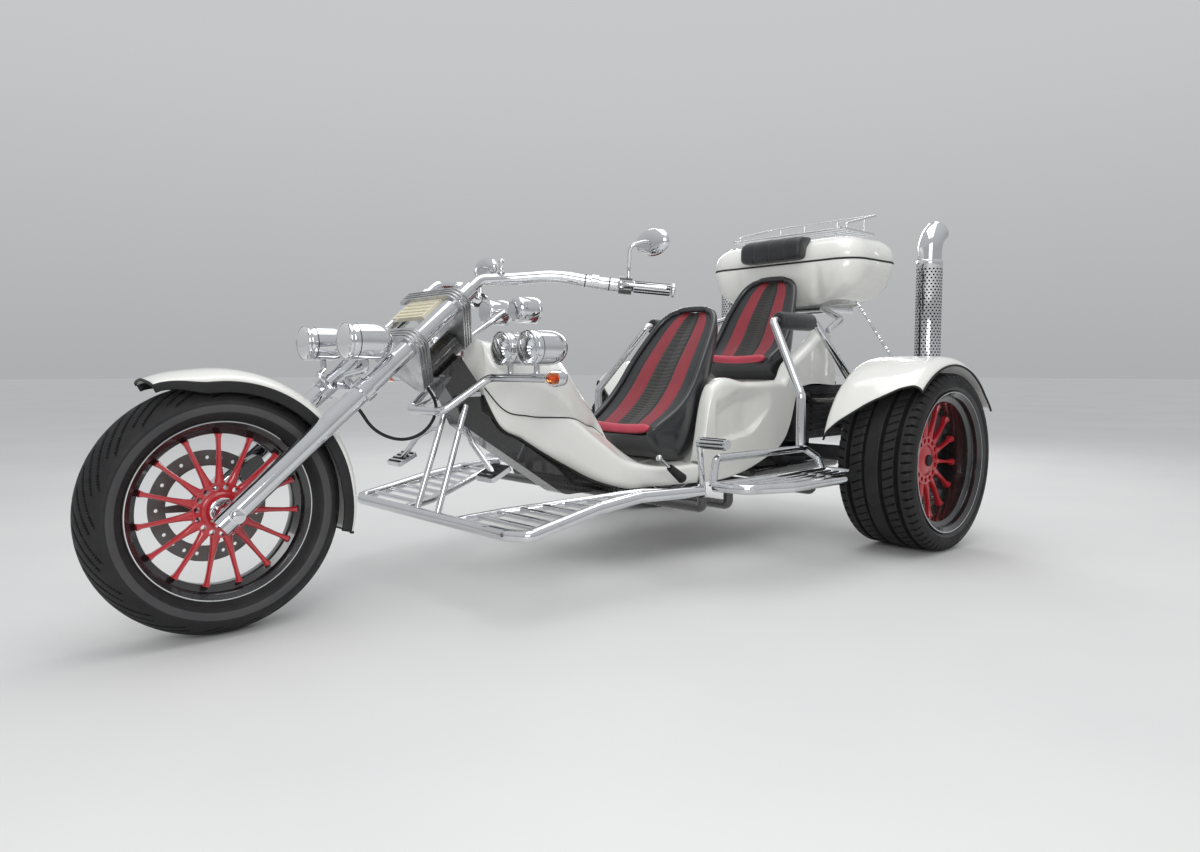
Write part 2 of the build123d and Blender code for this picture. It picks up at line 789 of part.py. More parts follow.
# Passenger foot boards: an oval ring with lengthwise slats and a raised inner guard rail
board_front = 1330
board_back = 1965
board_half = 752
guard_z = 404
guard_radius = 13
guard_side = 545
board_points = [
    at(board_front, board_rail_side, board_z), at(board_front + 20, 690, board_z), at(1500, board_half, board_z),
    at(1800, board_half, board_z), at(board_back - 10, 700, board_z), at(board_back, board_rail_side, board_z),
]
guard_points = [
    at(1340, board_rail_side - 15, board_z), at(1375, guard_side, guard_z), at(1870, guard_side, guard_z),
    at(1930, board_rail_side - 15, 370), at(1945, board_rail_side, board_z),
]
board_slat_sides = (610, 645, 680, 715)


def foot_board(side):
    """Foot board on one side."""
    ring = [(x, side * y, z) for x, y, z in board_points]
    guard = [(x, side * y, z) for x, y, z in guard_points]
    inner_rail = rod(ring[0], ring[-1], board_rail_radius)
    slats = [
        rod(at(board_front + 15, side * y, board_z), at(board_back - 15, side * y, board_z), slat_radius)
        for y in board_slat_sides
    ]
    cross = [
        rod(at(station, side * board_rail_side, board_z), at(station, side * board_half, board_z), slat_radius)
        for station in (1500, 1800)
    ]
    with BuildPart() as board:
        add(tube(ring, 16, 40))
        add(inner_rail)
        add(slats)
        add(cross)
        add(tube(guard, guard_radius, 24))
    return board.part


board_parts = [foot_board(side) for side in (1, -1)]
with BuildPart() as foot_boards:
    add(board_parts)
foot_boards.part.label = "foot_boards"
export_step(foot_boards.part, "parts/foot_boards.step")

# Foot controls: two pedals on arms from the spine, and a peg on a post beside each seat
pedal_foot = at(711, 67.4, 500)
pedal_at = at(690, 270, 388)
peg_at = at(1376, 470, 450)
peg_length = 120
pedal_arms = [
    tube([
        (pedal_foot[0], side * pedal_foot[1], pedal_foot[2]),
        (pedal_foot[0], side * (pedal_foot[1] + 34), pedal_foot[2]), at(690, side * 160, 470),
        (pedal_at[0], side * pedal_at[1], pedal_at[2]),
    ], 9, 14)
    for side in (1, -1)
]
pegs = [
    rod((peg_at[0], side * peg_at[1], peg_at[2]), (peg_at[0], side * (peg_at[1] + peg_length), peg_at[2]), 17)
    for side in (1, -1)
]
peg_posts = [
    rod(at(1400, side * peg_at[1], outrigger_z + outrigger_radius + running_gap),
        (peg_at[0], side * peg_at[1], peg_at[2]), 10)
    for side in (1, -1)
]
with BuildPart() as foot_controls:
    add(pedal_arms)
    for side in (1, -1):
        with BuildSketch(Plane(origin=(pedal_at[0], side * pedal_at[1], pedal_at[2]), z_dir=(0.5, 0, 1))):
            RectangleRounded(76, 92, 10)
        extrude(amount=7, both=True)
    add(pegs)
    add(peg_posts)
foot_controls.part.label = "foot_controls"
export_step(foot_controls.part, "parts/foot_controls.step")

# Nose cowl: a tank that tapers to a point, over a fairing that flares round the seat's front
# It is open underneath and at both ends, and its lower edges seat on the spine's sides
tub_front = 1620
skirt_side = spine_width / 2 + running_gap + wall
# Columns: station, top z, then side and z of the shoulder, flank, lip, ledge and skirt
cowl_sections = (
    (808, 789, 50, 775, 66, 700, 56, 634, 53, 628, skirt_side, 606),
    (860, 781, 70, 764, 112, 668, 72, 570, 62, 562, skirt_side, 518),
    (960, 764, 88, 738, 150, 636, 90, 538, 79, 530, skirt_side + 1, 458),
    (1060, 743, 90, 700, 128, 582, 98, 530, 90, 520, 60, 398),
    (1137, 725, 75, 672, 108, 534, 101, 524, 116, 504, 76, 354),
    (1229, 625, 52, 590, 76, 504, 72, 494, 170, 425, 122, 300),
    (1314, 525, 32, 508, 44, 474, 40, 467, 200, 362, 182, 272),
    (1380, 388, 32, 386, 60, 384, 110, 378, 216, 350, 205, 272),
    (1450, 350, 32, 350.2, 70, 349.4, 130, 347.6, 230, 342, 218, 272),
    (tub_front - running_gap, 350, 32, 350.2, 70, 349.4, 130, 347.6, 264, 342, 252, 272),
)


def cowl_section(row, inset):
    """Closed section across the cowl, pulled in by an inset and then open below."""
    station, top, *sides = row
    half = list(zip(sides[::2], sides[1::2]))
    outline = [(0, top + 0.5), *half, *[(-y, z) for y, z in half[::-1]]]
    if inset:
        outline = pulled_in(outline, inset)
        for corner in (len(half), len(half) + 1):
            outline[corner] = (outline[corner][0], half[-1][1] - 4 * inset)
    with BuildSketch(Plane(origin=at(station, 0, 0), x_dir=(0, 1, 0), z_dir=(1, 0, 0))) as section:
        with BuildLine():
            Polyline(*outline, close=True)
        make_face()
    return section.sketch


cowl_outer = [cowl_section(row, 0) for row in cowl_sections]
cowl_inner = [cowl_section(row, wall) for row in cowl_sections]
with BuildPart() as nose_cowl:
    loft(cowl_outer, ruled=True)
    loft(cowl_inner, ruled=True, mode=Mode.SUBTRACT)
nose_cowl.part.label = "nose_cowl"
export_step(nose_cowl.part, "parts/nose_cowl.step")

# Rear tub: hollow pedestal behind the driver, with wings beside the passenger seat
tub_half = 268
tub_bottom = spine_top_z + running_gap
deck_z = 640
seat_recess_half = 214
passenger_recess_half = 204
# Columns: station, z. The skin runs up the front, over the top and down the back
tub_skin = (
    (tub_front, tub_bottom), (tub_front, 350), (1690, deck_z), (2160, deck_z + 8), (2180, 708), (2355, 816),
    (2460, 875), (2513, 753), (2500, 622),
)
tub_arch = ((2280, 622), (2220, 560), (2190, 420), (2100, tub_bottom))
driver_recess = ((1560, 200), (1650, 200), (1650, tub_bottom), (1726, 425), (1796, 595), (1830, 700), (1560, 700))
passenger_recess = ((2150, deck_z), (2600, deck_z), (2600, 1000), (2150, 1000))


def side_slab(outline, half):
    """Slab between two side planes, with its outline given as stations and heights."""
    with BuildPart() as slab:
        with BuildSketch(Plane.XZ):
            with BuildLine():
                Polyline(*[at(station, 0, z)[::2] for station, z in outline], close=True)
            make_face()
        extrude(amount=half, both=True)
    return slab.part


cavity_skin = pulled_in(tub_skin + tub_arch, wall)[:len(tub_skin)]
cavity_open = (
    [(cavity_skin[-1][0], 592)]
    + [(station + 15, z - 30) for station, z in tub_arch]
    + [(cavity_skin[0][0], tub_bottom - 30)]
)
tub_shell = side_slab(tub_skin + tub_arch, tub_half)
driver_cut = side_slab(driver_recess, seat_recess_half)
passenger_cut = side_slab(passenger_recess, passenger_recess_half)
cavity_slab = side_slab(cavity_skin + cavity_open, tub_half - wall)
driver_wall = side_slab(pulled_in(driver_recess, -wall), seat_recess_half + wall)
passenger_wall = side_slab(pulled_in(passenger_recess, -wall), passenger_recess_half + wall)
with BuildPart() as tub_cavity:
    add(cavity_slab)
    add(driver_wall, mode=Mode.SUBTRACT)
    add(passenger_wall, mode=Mode.SUBTRACT)
with BuildPart() as rear_tub:
    add(tub_shell)
    add(driver_cut, mode=Mode.SUBTRACT)
    add(passenger_cut, mode=Mode.SUBTRACT)
    add(tub_cavity.part, mode=Mode.SUBTRACT)
rear_tub.part.label = "rear_tub"
export_step(rear_tub.part, "parts/rear_tub.step")

# Seats: a bucket shell and the pad inside it, from one table of sections
shell_wall = 8
pad_gap = 1.0
# Columns: bottom station and z, rim station and z, rim half width, bottom half width, from the lip and the floor
seat_sections = (
    (2, 92, 0, 108, 172, 140),
    (60, 26, 38, 136, 194, 146),
    (180, 0, 135, 200, 208, 157),
    (265, 92, 210, 278, 206, 155),
    (335, 262, 285, 388, 192, 142),
    (422, 452, 380, 515, 160, 118),
    (452, 530, 420, 566, 124, 88),
    (464, 566, 438, 586, 78, 52),
)
# Columns: name, lip station, floor z, length share, height share, width share
seat_table = (
    ("driver", 1440, 350.5 + running_gap, 1.0, 0.99, 1.0),
    ("passenger", 2152, deck_z + running_gap, 0.59, 0.765, 0.93),
)


def seat_profile(row, place, inset):
    """Section across the seat: an open bucket, or with an inset the pad that fills it."""
    low_s, low_z, rim_s, rim_z, rim_half, low_half = row
    _, lip, floor, length, height, width = place
    low = Vector(*at(lip + low_s * length, 0, floor + low_z * height))
    rim = Vector(*at(lip + rim_s * length, 0, floor + rim_z * height))
    depth = (rim - low).length
    up = (rim - low).normalized()
    outer = [(low_half * width, 0), (rim_half * width * 0.97, depth * 0.4), (rim_half * width, depth)]
    inner = [
        (low_half * width - shell_wall * 0.6 - inset, shell_wall + inset),
        (rim_half * width * 0.97 - shell_wall - inset, depth * 0.4 + shell_wall * 0.5 + inset * 0.5),
        (rim_half * width - shell_wall - inset, depth - inset * 2),
    ]
    if inset:
        crown = (rim_half * width * 0.5, depth + 9)
        half = inner + [crown]
    else:
        half = outer + inner[::-1]
    with BuildSketch(Plane(origin=low, x_dir=(0, 1, 0), z_dir=(up.Z, 0, -up.X))) as profile:
        with BuildLine():
            Polyline(*half, *[(-x, y) for x, y in half[::-1]], close=True)
        make_face()
    return profile.sketch


for place in seat_table:
    shell_profiles = [seat_profile(row, place, 0) for row in seat_sections]
    pad_profiles = [seat_profile(row, place, pad_gap) for row in seat_sections[1:]]
    with BuildPart() as seat_shell:
        loft(shell_profiles, ruled=True)
    seat_shell.part.label = f"{place[0]}_seat_shell"
    export_step(seat_shell.part, f"parts/{place[0]}_seat_shell.step")
    with BuildPart() as seat_pad:
        loft(pad_profiles, ruled=True)
    seat_pad.part.label = f"{place[0]}_seat_pad"
    export_step(seat_pad.part, f"parts/{place[0]}_seat_pad.step")

# Engine: one heavy block between the cradle rails and the tub
engine_front = 2230
engine_rear = 2650
engine_half = 250
engine_low = 395
engine_top = 622
with BuildPart() as engine_block:
    with BuildSketch(Plane.XZ):
        with BuildLine():
            Polyline(
                at(engine_front, 0, engine_low)[::2], at(engine_front, 0, engine_top - 60)[::2],
                at(engine_front + 60, 0, engine_top)[::2], at(engine_rear, 0, engine_top)[::2],
                at(engine_rear, 0, engine_low)[::2], close=True,
            )
        make_face()
    extrude(amount=engine_half, both=True)
engine_block.part.label = "engine_block"
export_step(engine_block.part, "parts/engine_block.step")

# Rear axle: gearbox under the engine, axle tubes, brake drums and the stub axles in the hubs
gearbox_half = cradle_side - cradle_rail_radius - 2
axle_tube_radius = 32
drum_radius = 105
drum_width = 44
drum_outer = rear_wheel_side - 30 - 5
stub_end = rear_wheel_side + rear_hub_face + 6
axle_bar = rod((rear_axle_x, -drum_outer, rear_tyre_radius), (rear_axle_x, drum_outer, rear_tyre_radius),
               axle_tube_radius)
stub_bar = rod((rear_axle_x, -stub_end, rear_tyre_radius), (rear_axle_x, stub_end, rear_tyre_radius),
               rear_axle_radius)
with BuildPart() as rear_axle:
    with BuildSketch(Plane.XZ):
        with BuildLine():
            FilletPolyline(
                at(2250, 0, 300)[::2], at(2250, 0, engine_low - running_gap)[::2],
                at(2530, 0, engine_low - running_gap)[::2], at(2530, 0, 300)[::2], at(2450, 0, 250)[::2],
                at(2300, 0, 250)[::2], radius=[20, 2, 2, 20, 30, 30], close=True,
            )
        make_face()
    extrude(amount=gearbox_half, both=True)
    add(axle_bar)
    for side in (1, -1):
        with BuildSketch(Plane(origin=(rear_axle_x, side * (drum_outer - drum_width), rear_tyre_radius),
                               z_dir=(0, side, 0))):
            Circle(drum_radius)
        extrude(amount=drum_width)
    add(stub_bar)
rear_axle.part.label = "rear_axle"
export_step(rear_axle.part, "parts/rear_axle.step")

# Rear fenders: revolved about the rear axle, with a slanted front edge
fender_inner = 545
fender_outer = 862
fender_radius = 402
fender_lip = 366
fender_skin = 4
rear_fender_start = 18
rear_fender_sweep = 133


def rear_fender(side):
    """Fender on one side with the outer edge rolled down."""
    start = (cos(radians(rear_fender_start)), sin(radians(rear_fender_start)))
    centre = (rear_axle_x, 0, rear_tyre_radius)
    with BuildPart() as shell:
        with BuildSketch(Plane(origin=centre, x_dir=(0, side, 0), z_dir=(side * start[1], 0, -side * start[0]))):
            with BuildLine():
                Polyline(
                    (fender_inner, fender_radius - 8), (fender_inner + 40, fender_radius),
                    (fender_outer - 60, fender_radius), (fender_outer - 12, fender_radius - 12),
                    (fender_outer, fender_lip), (fender_outer - fender_skin, fender_lip),
                    (fender_outer - 15, fender_radius - 16), (fender_outer - 61, fender_radius - fender_skin),
                    (fender_inner + 41, fender_radius - fender_skin), (fender_inner, fender_radius - 8 - fender_skin),
                    close=True,
                )
            make_face()
        revolve(axis=Axis(centre, (0, -1, 0)), revolution_arc=rear_fender_sweep)
        with BuildSketch(Plane.XY.offset(rear_tyre_radius)):
            with BuildLine():
                Polyline(
                    at(1900, side * fender_inner, 0)[:2], at(1994, side * fender_inner, 0)[:2],
                    at(2125, side * (fender_outer + 10), 0)[:2], at(1900, side * (fender_outer + 10), 0)[:2],
                    close=True,
                )
            make_face()
        extrude(amount=300, mode=Mode.SUBTRACT)
    return shell.part


fender_parts = [rear_fender(side) for side in (1, -1)]
with BuildPart() as rear_fenders:
    add(fender_parts)
rear_fenders.part.label = "rear_fenders"
export_step(rear_fenders.part, "parts/rear_fenders.step")

# Stays from the engine's sides to the fenders, the armrest feet and the exhaust
stay_z = 560
stay_radius = 12
stay_side = fender_inner + 8
armrest_foot_station = 2425


def stay_top(station):
    """Height of the fender's underside above a station, at the stay's outer edge."""
    reach = abs(station - wheelbase) + stay_radius
    under = fender_radius - 8 - fender_skin
    return rear_tyre_radius + (under**2 - reach**2) ** 0.5 - running_gap


stay_runs = [
    [
        at(station, side * (engine_half + running_gap), stay_z), at(station, side * 480, stay_z),
        at(station, side * stay_side, 640), at(station, side * stay_side, stay_top(station)),
    ]
    for side in (1, -1)
    for station in (2290, armrest_foot_station, 2540)
]
stay_tubes = [tube(points, stay_radius, 30) for points in stay_runs]
with BuildPart() as fender_stays:
    add(stay_tubes)
fender_stays.part.label = "fender_stays"
export_step(fender_stays.part, "parts/fender_stays.step")

# Armrests: one bent tube on each side, with a padded roller on its level run
armrest_radius = 16
armrest_side = 340
armrest_z = 880
pad_front = 1985
pad_back = 2205
armrest_points = [
    at(1846, guard_side, guard_z + guard_radius + running_gap),
    at(1846, guard_side, 598),
    at(1952, armrest_side, armrest_z),
    at(2240, armrest_side, armrest_z),
    at(armrest_foot_station, 400, 640),
    at(armrest_foot_station, 400, stay_z + stay_radius + running_gap),
]
armrest_tubes = [tube(armrest_points, armrest_radius, 30), tube(mirrored(armrest_points), armrest_radius, 30)]
with BuildPart() as armrests:
    add(armrest_tubes)
armrests.part.label = "armrests"
export_step(armrests.part, "parts/armrests.step")

pad_radius = 35
with BuildPart() as armrest_pads:
    for side in (1, -1):
        with BuildSketch(Plane(origin=at(pad_front, side * armrest_side, armrest_z), z_dir=(-1, 0, 0))):
            Circle(pad_radius)
            Circle(armrest_radius + running_gap, mode=Mode.SUBTRACT)
        extrude(amount=pad_back - pad_front)
armrest_pads.part.label = "armrest_pads"
export_step(armrest_pads.part, "parts/armrest_pads.step")

# Trunk: a tapered tub and a domed lid that meet at a level seam
trunk_front = 2430
trunk_rear = 2830
trunk_half = 400
trunk_floor = 975
seam_z = 1160
lid_gap = 0.5
lid_top = 1262
# Columns: front station, rear station, half width, z, corner radius
tub_rings = (
    (trunk_front + 44, trunk_rear - 50, 285, trunk_floor, 60),
    (trunk_front + 10, trunk_rear - 12, 370, trunk_floor + 80, 90),
    (trunk_front, trunk_rear, trunk_half, seam_z, 100),
)
lid_rings = (
    (trunk_front, trunk_rear, trunk_half, seam_z + lid_gap, 100),
    (trunk_front + 10, trunk_rear - 12, trunk_half - 10, seam_z + 62, 96),
    (trunk_front + 54, trunk_rear - 60, trunk_half - 60, lid_top, 70),
)


def ring_section(row, inset, rise):
    """Rounded rectangle in a level plane, pulled in by an inset and lifted by a rise."""
    front, rear, half, z, corner = row
    middle = at((front + rear) / 2, 0, 0)
    with BuildSketch(Plane.XY.offset(z + rise)) as section:
        with Locations((middle[0], 0)):
            RectangleRounded(rear - front - 2 * inset, 2 * (half - inset), corner - inset)
    return section.sketch


trunk_wall = 4
trunk_outer = [ring_section(row, 0, 0) for row in tub_rings]
trunk_inner = [ring_section(row, trunk_wall, rise) for row, rise in zip(tub_rings, (trunk_wall, 0, 1))]
with BuildPart() as trunk_tub:
    loft(trunk_outer, ruled=True)
    loft(trunk_inner, ruled=True, mode=Mode.SUBTRACT)
trunk_tub.part.label = "trunk_tub"
export_step(trunk_tub.part, "parts/trunk_tub.step")

lid_outer = [ring_section(row, 0, 0) for row in lid_rings]
lid_inner = [ring_section(row, trunk_wall, rise) for row, rise in zip(lid_rings, (-1, 0, -trunk_wall))]
with BuildPart() as trunk_lid:
    loft(lid_outer, ruled=True)
    loft(lid_inner, ruled=True, mode=Mode.SUBTRACT)
trunk_lid.part.label = "trunk_lid"
export_step(trunk_lid.part, "parts/trunk_lid.step")

# Backrest pad on the front of the lid
backrest_half = 160
backrest_thickness = 58
with BuildPart() as backrest_pad:
    with BuildSketch(Plane.XZ):
        with BuildLine():
            Polyline(
                at(trunk_front + 1 - running_gap, 0, seam_z + 6)[::2],
                at(trunk_front - backrest_thickness, 0, seam_z + 8)[::2],
                at(trunk_front - backrest_thickness, 0, seam_z + 84)[::2],
                at(trunk_front - backrest_thickness + 30, 0, lid_top + 12)[::2],
                at(trunk_front + 54, 0, lid_top + 14)[::2],
                at(trunk_front + 54, 0, lid_top + running_gap)[::2],
                at(trunk_front + 10 - running_gap, 0, seam_z + 62)[::2],
                close=True,
            )
        make_face()
    extrude(amount=backrest_half, both=True)
backrest_pad.part.label = "backrest_pad"
export_step(backrest_pad.part, "parts/backrest_pad.step")

# Luggage rack: wire deck on posts with a rail that rises to the rear
rack_wire = 5
rack_frame_radius = rack_wire + 1
rack_post_radius = rack_wire - 1
rack_z = 1300
rack_top = 1386
rack_front = 2500
rack_rear = 2790
rack_half = 290
rack_first = rack_front + 20
rack_pitch = 50
rack_cross_count = 6
rail_front = rack_first + rack_pitch / 2
rack_posts = [
    rod(at(rack_first + step * rack_pitch, side * 220, lid_top + running_gap),
        at(rack_first + step * rack_pitch, side * 220, rack_z), rack_post_radius)
    for step in (1, 4)
    for side in (1, -1)
]
rack_cross = [
    rod(at(rack_first + step * rack_pitch, -rack_half, rack_z), at(rack_first + step * rack_pitch, rack_half, rack_z),
        rack_wire)
    for step in range(rack_cross_count)
]
rack_frame = tube([
    at(rack_front, rack_half, rack_z), at(rack_rear, rack_half, rack_z), at(rack_rear, -rack_half, rack_z),
    at(rack_front, -rack_half, rack_z),
], rack_frame_radius, 30)
rail_side = [
    at(rail_front, rack_half, rack_z), at(rail_front, rack_half, rack_z + 24), at(rack_rear, rack_half, rack_top),
]
rail_posts = [
    rod(at(rack_rear, side * y, rack_z), at(rack_rear, side * y, rack_top), rack_post_radius)
    for side in (1, -1)
    for y in (230, 90)
]
rack_rail = tube(rail_side + mirrored(rail_side)[::-1], rack_wire, 12)
with BuildPart() as luggage_rack:
    add(rack_posts)
    add(rack_cross)
    add(rack_frame)
    add(rack_rail)
    add(rail_posts)
luggage_rack.part.label = "luggage_rack"
export_step(luggage_rack.part, "parts/luggage_rack.step")

# Trunk carrier: rails under the trunk, posts from the cradle and a branch to each armrest
carrier_radius = 14
carrier_z = trunk_floor - carrier_radius - running_gap
carrier_side = 200
carrier_post_station = 2680
carrier_rails = [
    tube([
        at(2290, side * (armrest_side + armrest_radius + carrier_radius + running_gap), armrest_z - 30),
        at(2400, side * 360, 900), at(2500, side * carrier_side, carrier_z),
        at(carrier_post_station + 60, side * carrier_side, carrier_z),
    ], carrier_radius, 30)
    for side in (1, -1)
]
carrier_posts = [
    rod(at(carrier_post_station, side * cradle_side, cradle_rail_z + cradle_rail_radius + running_gap),
        at(carrier_post_station, side * carrier_side, carrier_z), carrier_radius)
    for side in (1, -1)
]
carrier_cross = [
    rod(at(station, -carrier_side, carrier_z), at(station, carrier_side, carrier_z), carrier_radius)
    for station in (2520, carrier_post_station)
]
with BuildPart() as trunk_carrier:
    add(carrier_rails)
    add(carrier_posts)
    add(carrier_cross)
trunk_carrier.part.label = "trunk_carrier"
export_step(trunk_carrier.part, "parts/trunk_carrier.step")

# Exhaust stacks: a pipe from the engine, a wide heat shield and a turned tip
stack_station = 2800
stack_side = 542
stack_pipe_radius = 38
shield_radius = 55
shield_low = 640
shield_top = 1161
tip_radius = 50


def exhaust_stack(side):
    """Pipe, heat shield and tip on one side."""
    pipe = tube([
        at(2600, side * (engine_half + running_gap), 450), at(2600, side * 330, 450), at(2780, side * 420, 450),
        at(stack_station, side * stack_side, 470), at(stack_station, side * stack_side, shield_top + 20),
    ], stack_pipe_radius, 45)
    tip = tube([
        at(stack_station, side * stack_side, shield_top), at(stack_station, side * stack_side, shield_top + 60),
        at(stack_station + 44, side * (stack_side + 6), shield_top + 134),
    ], tip_radius, 60)
    with BuildPart() as stack:
        add(pipe)
        with BuildSketch(Plane.XY.offset(shield_low)):
            with Locations(at(stack_station, side * stack_side, 0)[:2]):
                Circle(shield_radius)
        extrude(amount=shield_top - shield_low)
        add(tip)
    return stack.part


stack_parts = [exhaust_stack(side) for side in (1, -1)]
with BuildPart() as exhaust_stacks:
    add(stack_parts)
exhaust_stacks.part.label = "exhaust_stacks"
export_step(exhaust_stacks.part, "parts/exhaust_stacks.step")

# Rear bumper: a tube across the back on brackets from the cradle, with the plate holder
bumper_radius = 16
bumper_station = overall_length - front_tyre_radius - bumper_radius
bumper_z = 470
bumper_half = 370
bumper_tube = tube([
    at(bumper_station - 50, bumper_half + 25, bumper_z), at(bumper_station, bumper_half - 25, bumper_z),
    at(bumper_station, 25 - bumper_half, bumper_z), at(bumper_station - 50, -bumper_half - 25, bumper_z),
], bumper_radius, 40)
bumper_brackets = [
    tube([
        at(cradle_end + running_gap, side * cradle_side, cradle_rail_z),
        at(cradle_end + 60, side * cradle_side, cradle_rail_z), at(bumper_station - 10, side * cradle_side, 400),
        at(bumper_station, side * cradle_side, bumper_z),
    ], 14, 30)
    for side in (1, -1)
]
plate_width = 240
plate_height = 130
plate_low = bumper_z + bumper_radius - 6
with BuildPart() as rear_bumper:
    add(bumper_tube)
    add(bumper_brackets)
    with BuildSketch(Plane(origin=at(bumper_station - 3, 0, plate_low + plate_height / 2), x_dir=(0, 1, 0),
                           z_dir=(-1, 0, 0))):
        RectangleRounded(plate_width, plate_height, 8)
    extrude(amount=6)
rear_bumper.part.label = "rear_bumper"
export_step(rear_bumper.part, "parts/rear_bumper.step")

# Tail lamps: a round pair on each side of the plate, standing on the bumper
tail_lamp_radius = 38
tail_lamp_length = 52
tail_lamp_sides = (190, 275)
with BuildPart() as tail_lamps:
    for side in (1, -1):
        for lamp_side in tail_lamp_sides:
            with BuildSketch(
                Plane(origin=at(bumper_station - 30, side * lamp_side,
                                bumper_z + bumper_radius + running_gap + tail_lamp_radius), z_dir=(-1, 0, 0))
            ):
                Circle(tail_lamp_radius)
            extrude(amount=tail_lamp_length * 0.6)
            with BuildSketch(
                Plane(origin=at(bumper_station - 30, side * lamp_side,
                                bumper_z + bumper_radius + running_gap + tail_lamp_radius), z_dir=(1, 0, 0))
            ):
                Circle(tail_lamp_radius - 4)
            extrude(amount=tail_lamp_length * 0.4)
tail_lamps.part.label = "tail_lamps"
export_step(tail_lamps.part, "parts/tail_lamps.step")

# Fork cable: a loose loop from the lamp brace down and up to the lower yoke
cable_radius = 5
cable_exit = on_fork(brace_along + brace_height / 2, fork_offset - 18, 0)
cable_end_along = lower_yoke_along + 2 * fin_pitch + fin_thickness / 2
cable_end = on_fork(cable_end_along, -44, 0)
cable_points = [
    cable_exit,
    on_fork(brace_along + brace_height / 2, fork_offset - 69, 0),
    at(449, 0, 509),
    at(533, 0, 474),
    at(600, 12, 488),
    at(652, 4, 530),
    on_fork(cable_end_along, -106, 0),
    cable_end,
]


def cord_radii(points):
    """Bend radius at each inner point, as large as its two runs allow."""
    radii = []
    for before, corner, after in zip(points, points[1:], points[2:]):
        run_in = Vector(*corner) - Vector(*before)
        run_out = Vector(*after) - Vector(*corner)
        half_turn = radians(run_in.get_angle(run_out) / 2)
        radii.append(0.45 * min(run_in.length, run_out.length) * cos(half_turn) / sin(half_turn))
    return radii


cable_radii = cord_radii(cable_points)
print("fork cable radii", [round(radius) for radius in cable_radii])
with BuildPart() as fork_cable:
    with BuildLine() as cable_path:
        FilletPolyline(*cable_points, radius=cable_radii)
    with BuildSketch(Plane(origin=cable_path.line @ 0, z_dir=cable_path.line % 0)):
        Circle(cable_radius)
    sweep()
cable_length = sum(edge.length for edge in cable_path.line.edges())
cable_share = fork_cable.part.volume / (cable_length * 3.14159265 * cable_radius**2)
print("fork cable length", round(cable_length), "volume share", round(cable_share, 3))
fork_cable.part.label = "fork_cable"
export_step(fork_cable.part, "parts/fork_cable.step")
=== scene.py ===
# Looks of the motorized trike: finishes, detailed wheels, seats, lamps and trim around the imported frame.
# Metres. +X is forward, +Y is the rider's left and +Z is up. A station is a distance behind the front axle.
import json
from math import asin, atan2, cos, pi, radians, sin

import bpy
import numpy as np
from mathutils import Matrix, Vector


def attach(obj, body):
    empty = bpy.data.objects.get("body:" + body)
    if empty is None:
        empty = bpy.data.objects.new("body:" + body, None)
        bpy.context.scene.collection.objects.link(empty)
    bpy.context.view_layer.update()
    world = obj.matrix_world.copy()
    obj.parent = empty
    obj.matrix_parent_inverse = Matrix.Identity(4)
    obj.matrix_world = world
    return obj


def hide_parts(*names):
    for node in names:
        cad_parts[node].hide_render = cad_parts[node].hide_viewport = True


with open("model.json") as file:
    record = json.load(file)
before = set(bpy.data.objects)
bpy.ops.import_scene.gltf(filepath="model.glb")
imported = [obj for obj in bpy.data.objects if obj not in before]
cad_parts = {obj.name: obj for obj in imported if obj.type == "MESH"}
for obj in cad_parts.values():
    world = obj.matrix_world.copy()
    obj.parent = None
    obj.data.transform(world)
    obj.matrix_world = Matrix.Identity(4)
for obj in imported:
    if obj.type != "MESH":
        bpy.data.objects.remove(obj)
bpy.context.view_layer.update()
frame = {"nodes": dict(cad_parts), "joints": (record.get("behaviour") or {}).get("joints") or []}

joints = {joint["name"]: joint for joint in frame["joints"]}
front_centre = Vector(joints["front_wheel_spin"]["pos_m"])
rear_centres = {
    "left": Vector(joints["rear_wheel_left_spin"]["pos_m"]),
    "right": Vector(joints["rear_wheel_right_spin"]["pos_m"]),
}
fork_foot = Vector(joints["steering"]["pos_m"])
fork_up = Vector(joints["steering"]["axis"]).normalized()
fork_ahead = Vector((fork_up.z, 0, -fork_up.x))
fork_offset = 0.130
fork_leg_side = 0.126
side_axis = Vector((0, 1, 0))


def at(station, side, height):
    """Point at a station behind the front axle."""
    return Vector((front_centre.x - station, side, height))


def route(side, *points):
    """Points given by station, distance to the side and height, on the left (1) or the right (-1)."""
    return [at(station, side * across, height) for station, across, height in points]


def on_fork(along, ahead, side):
    """Point at a distance along the steering axis, ahead of it and to the side."""
    return fork_foot + fork_up * along + fork_ahead * ahead + side_axis * side


# Materials

def faded(colour, share):
    return tuple(channel * share for channel in colour)


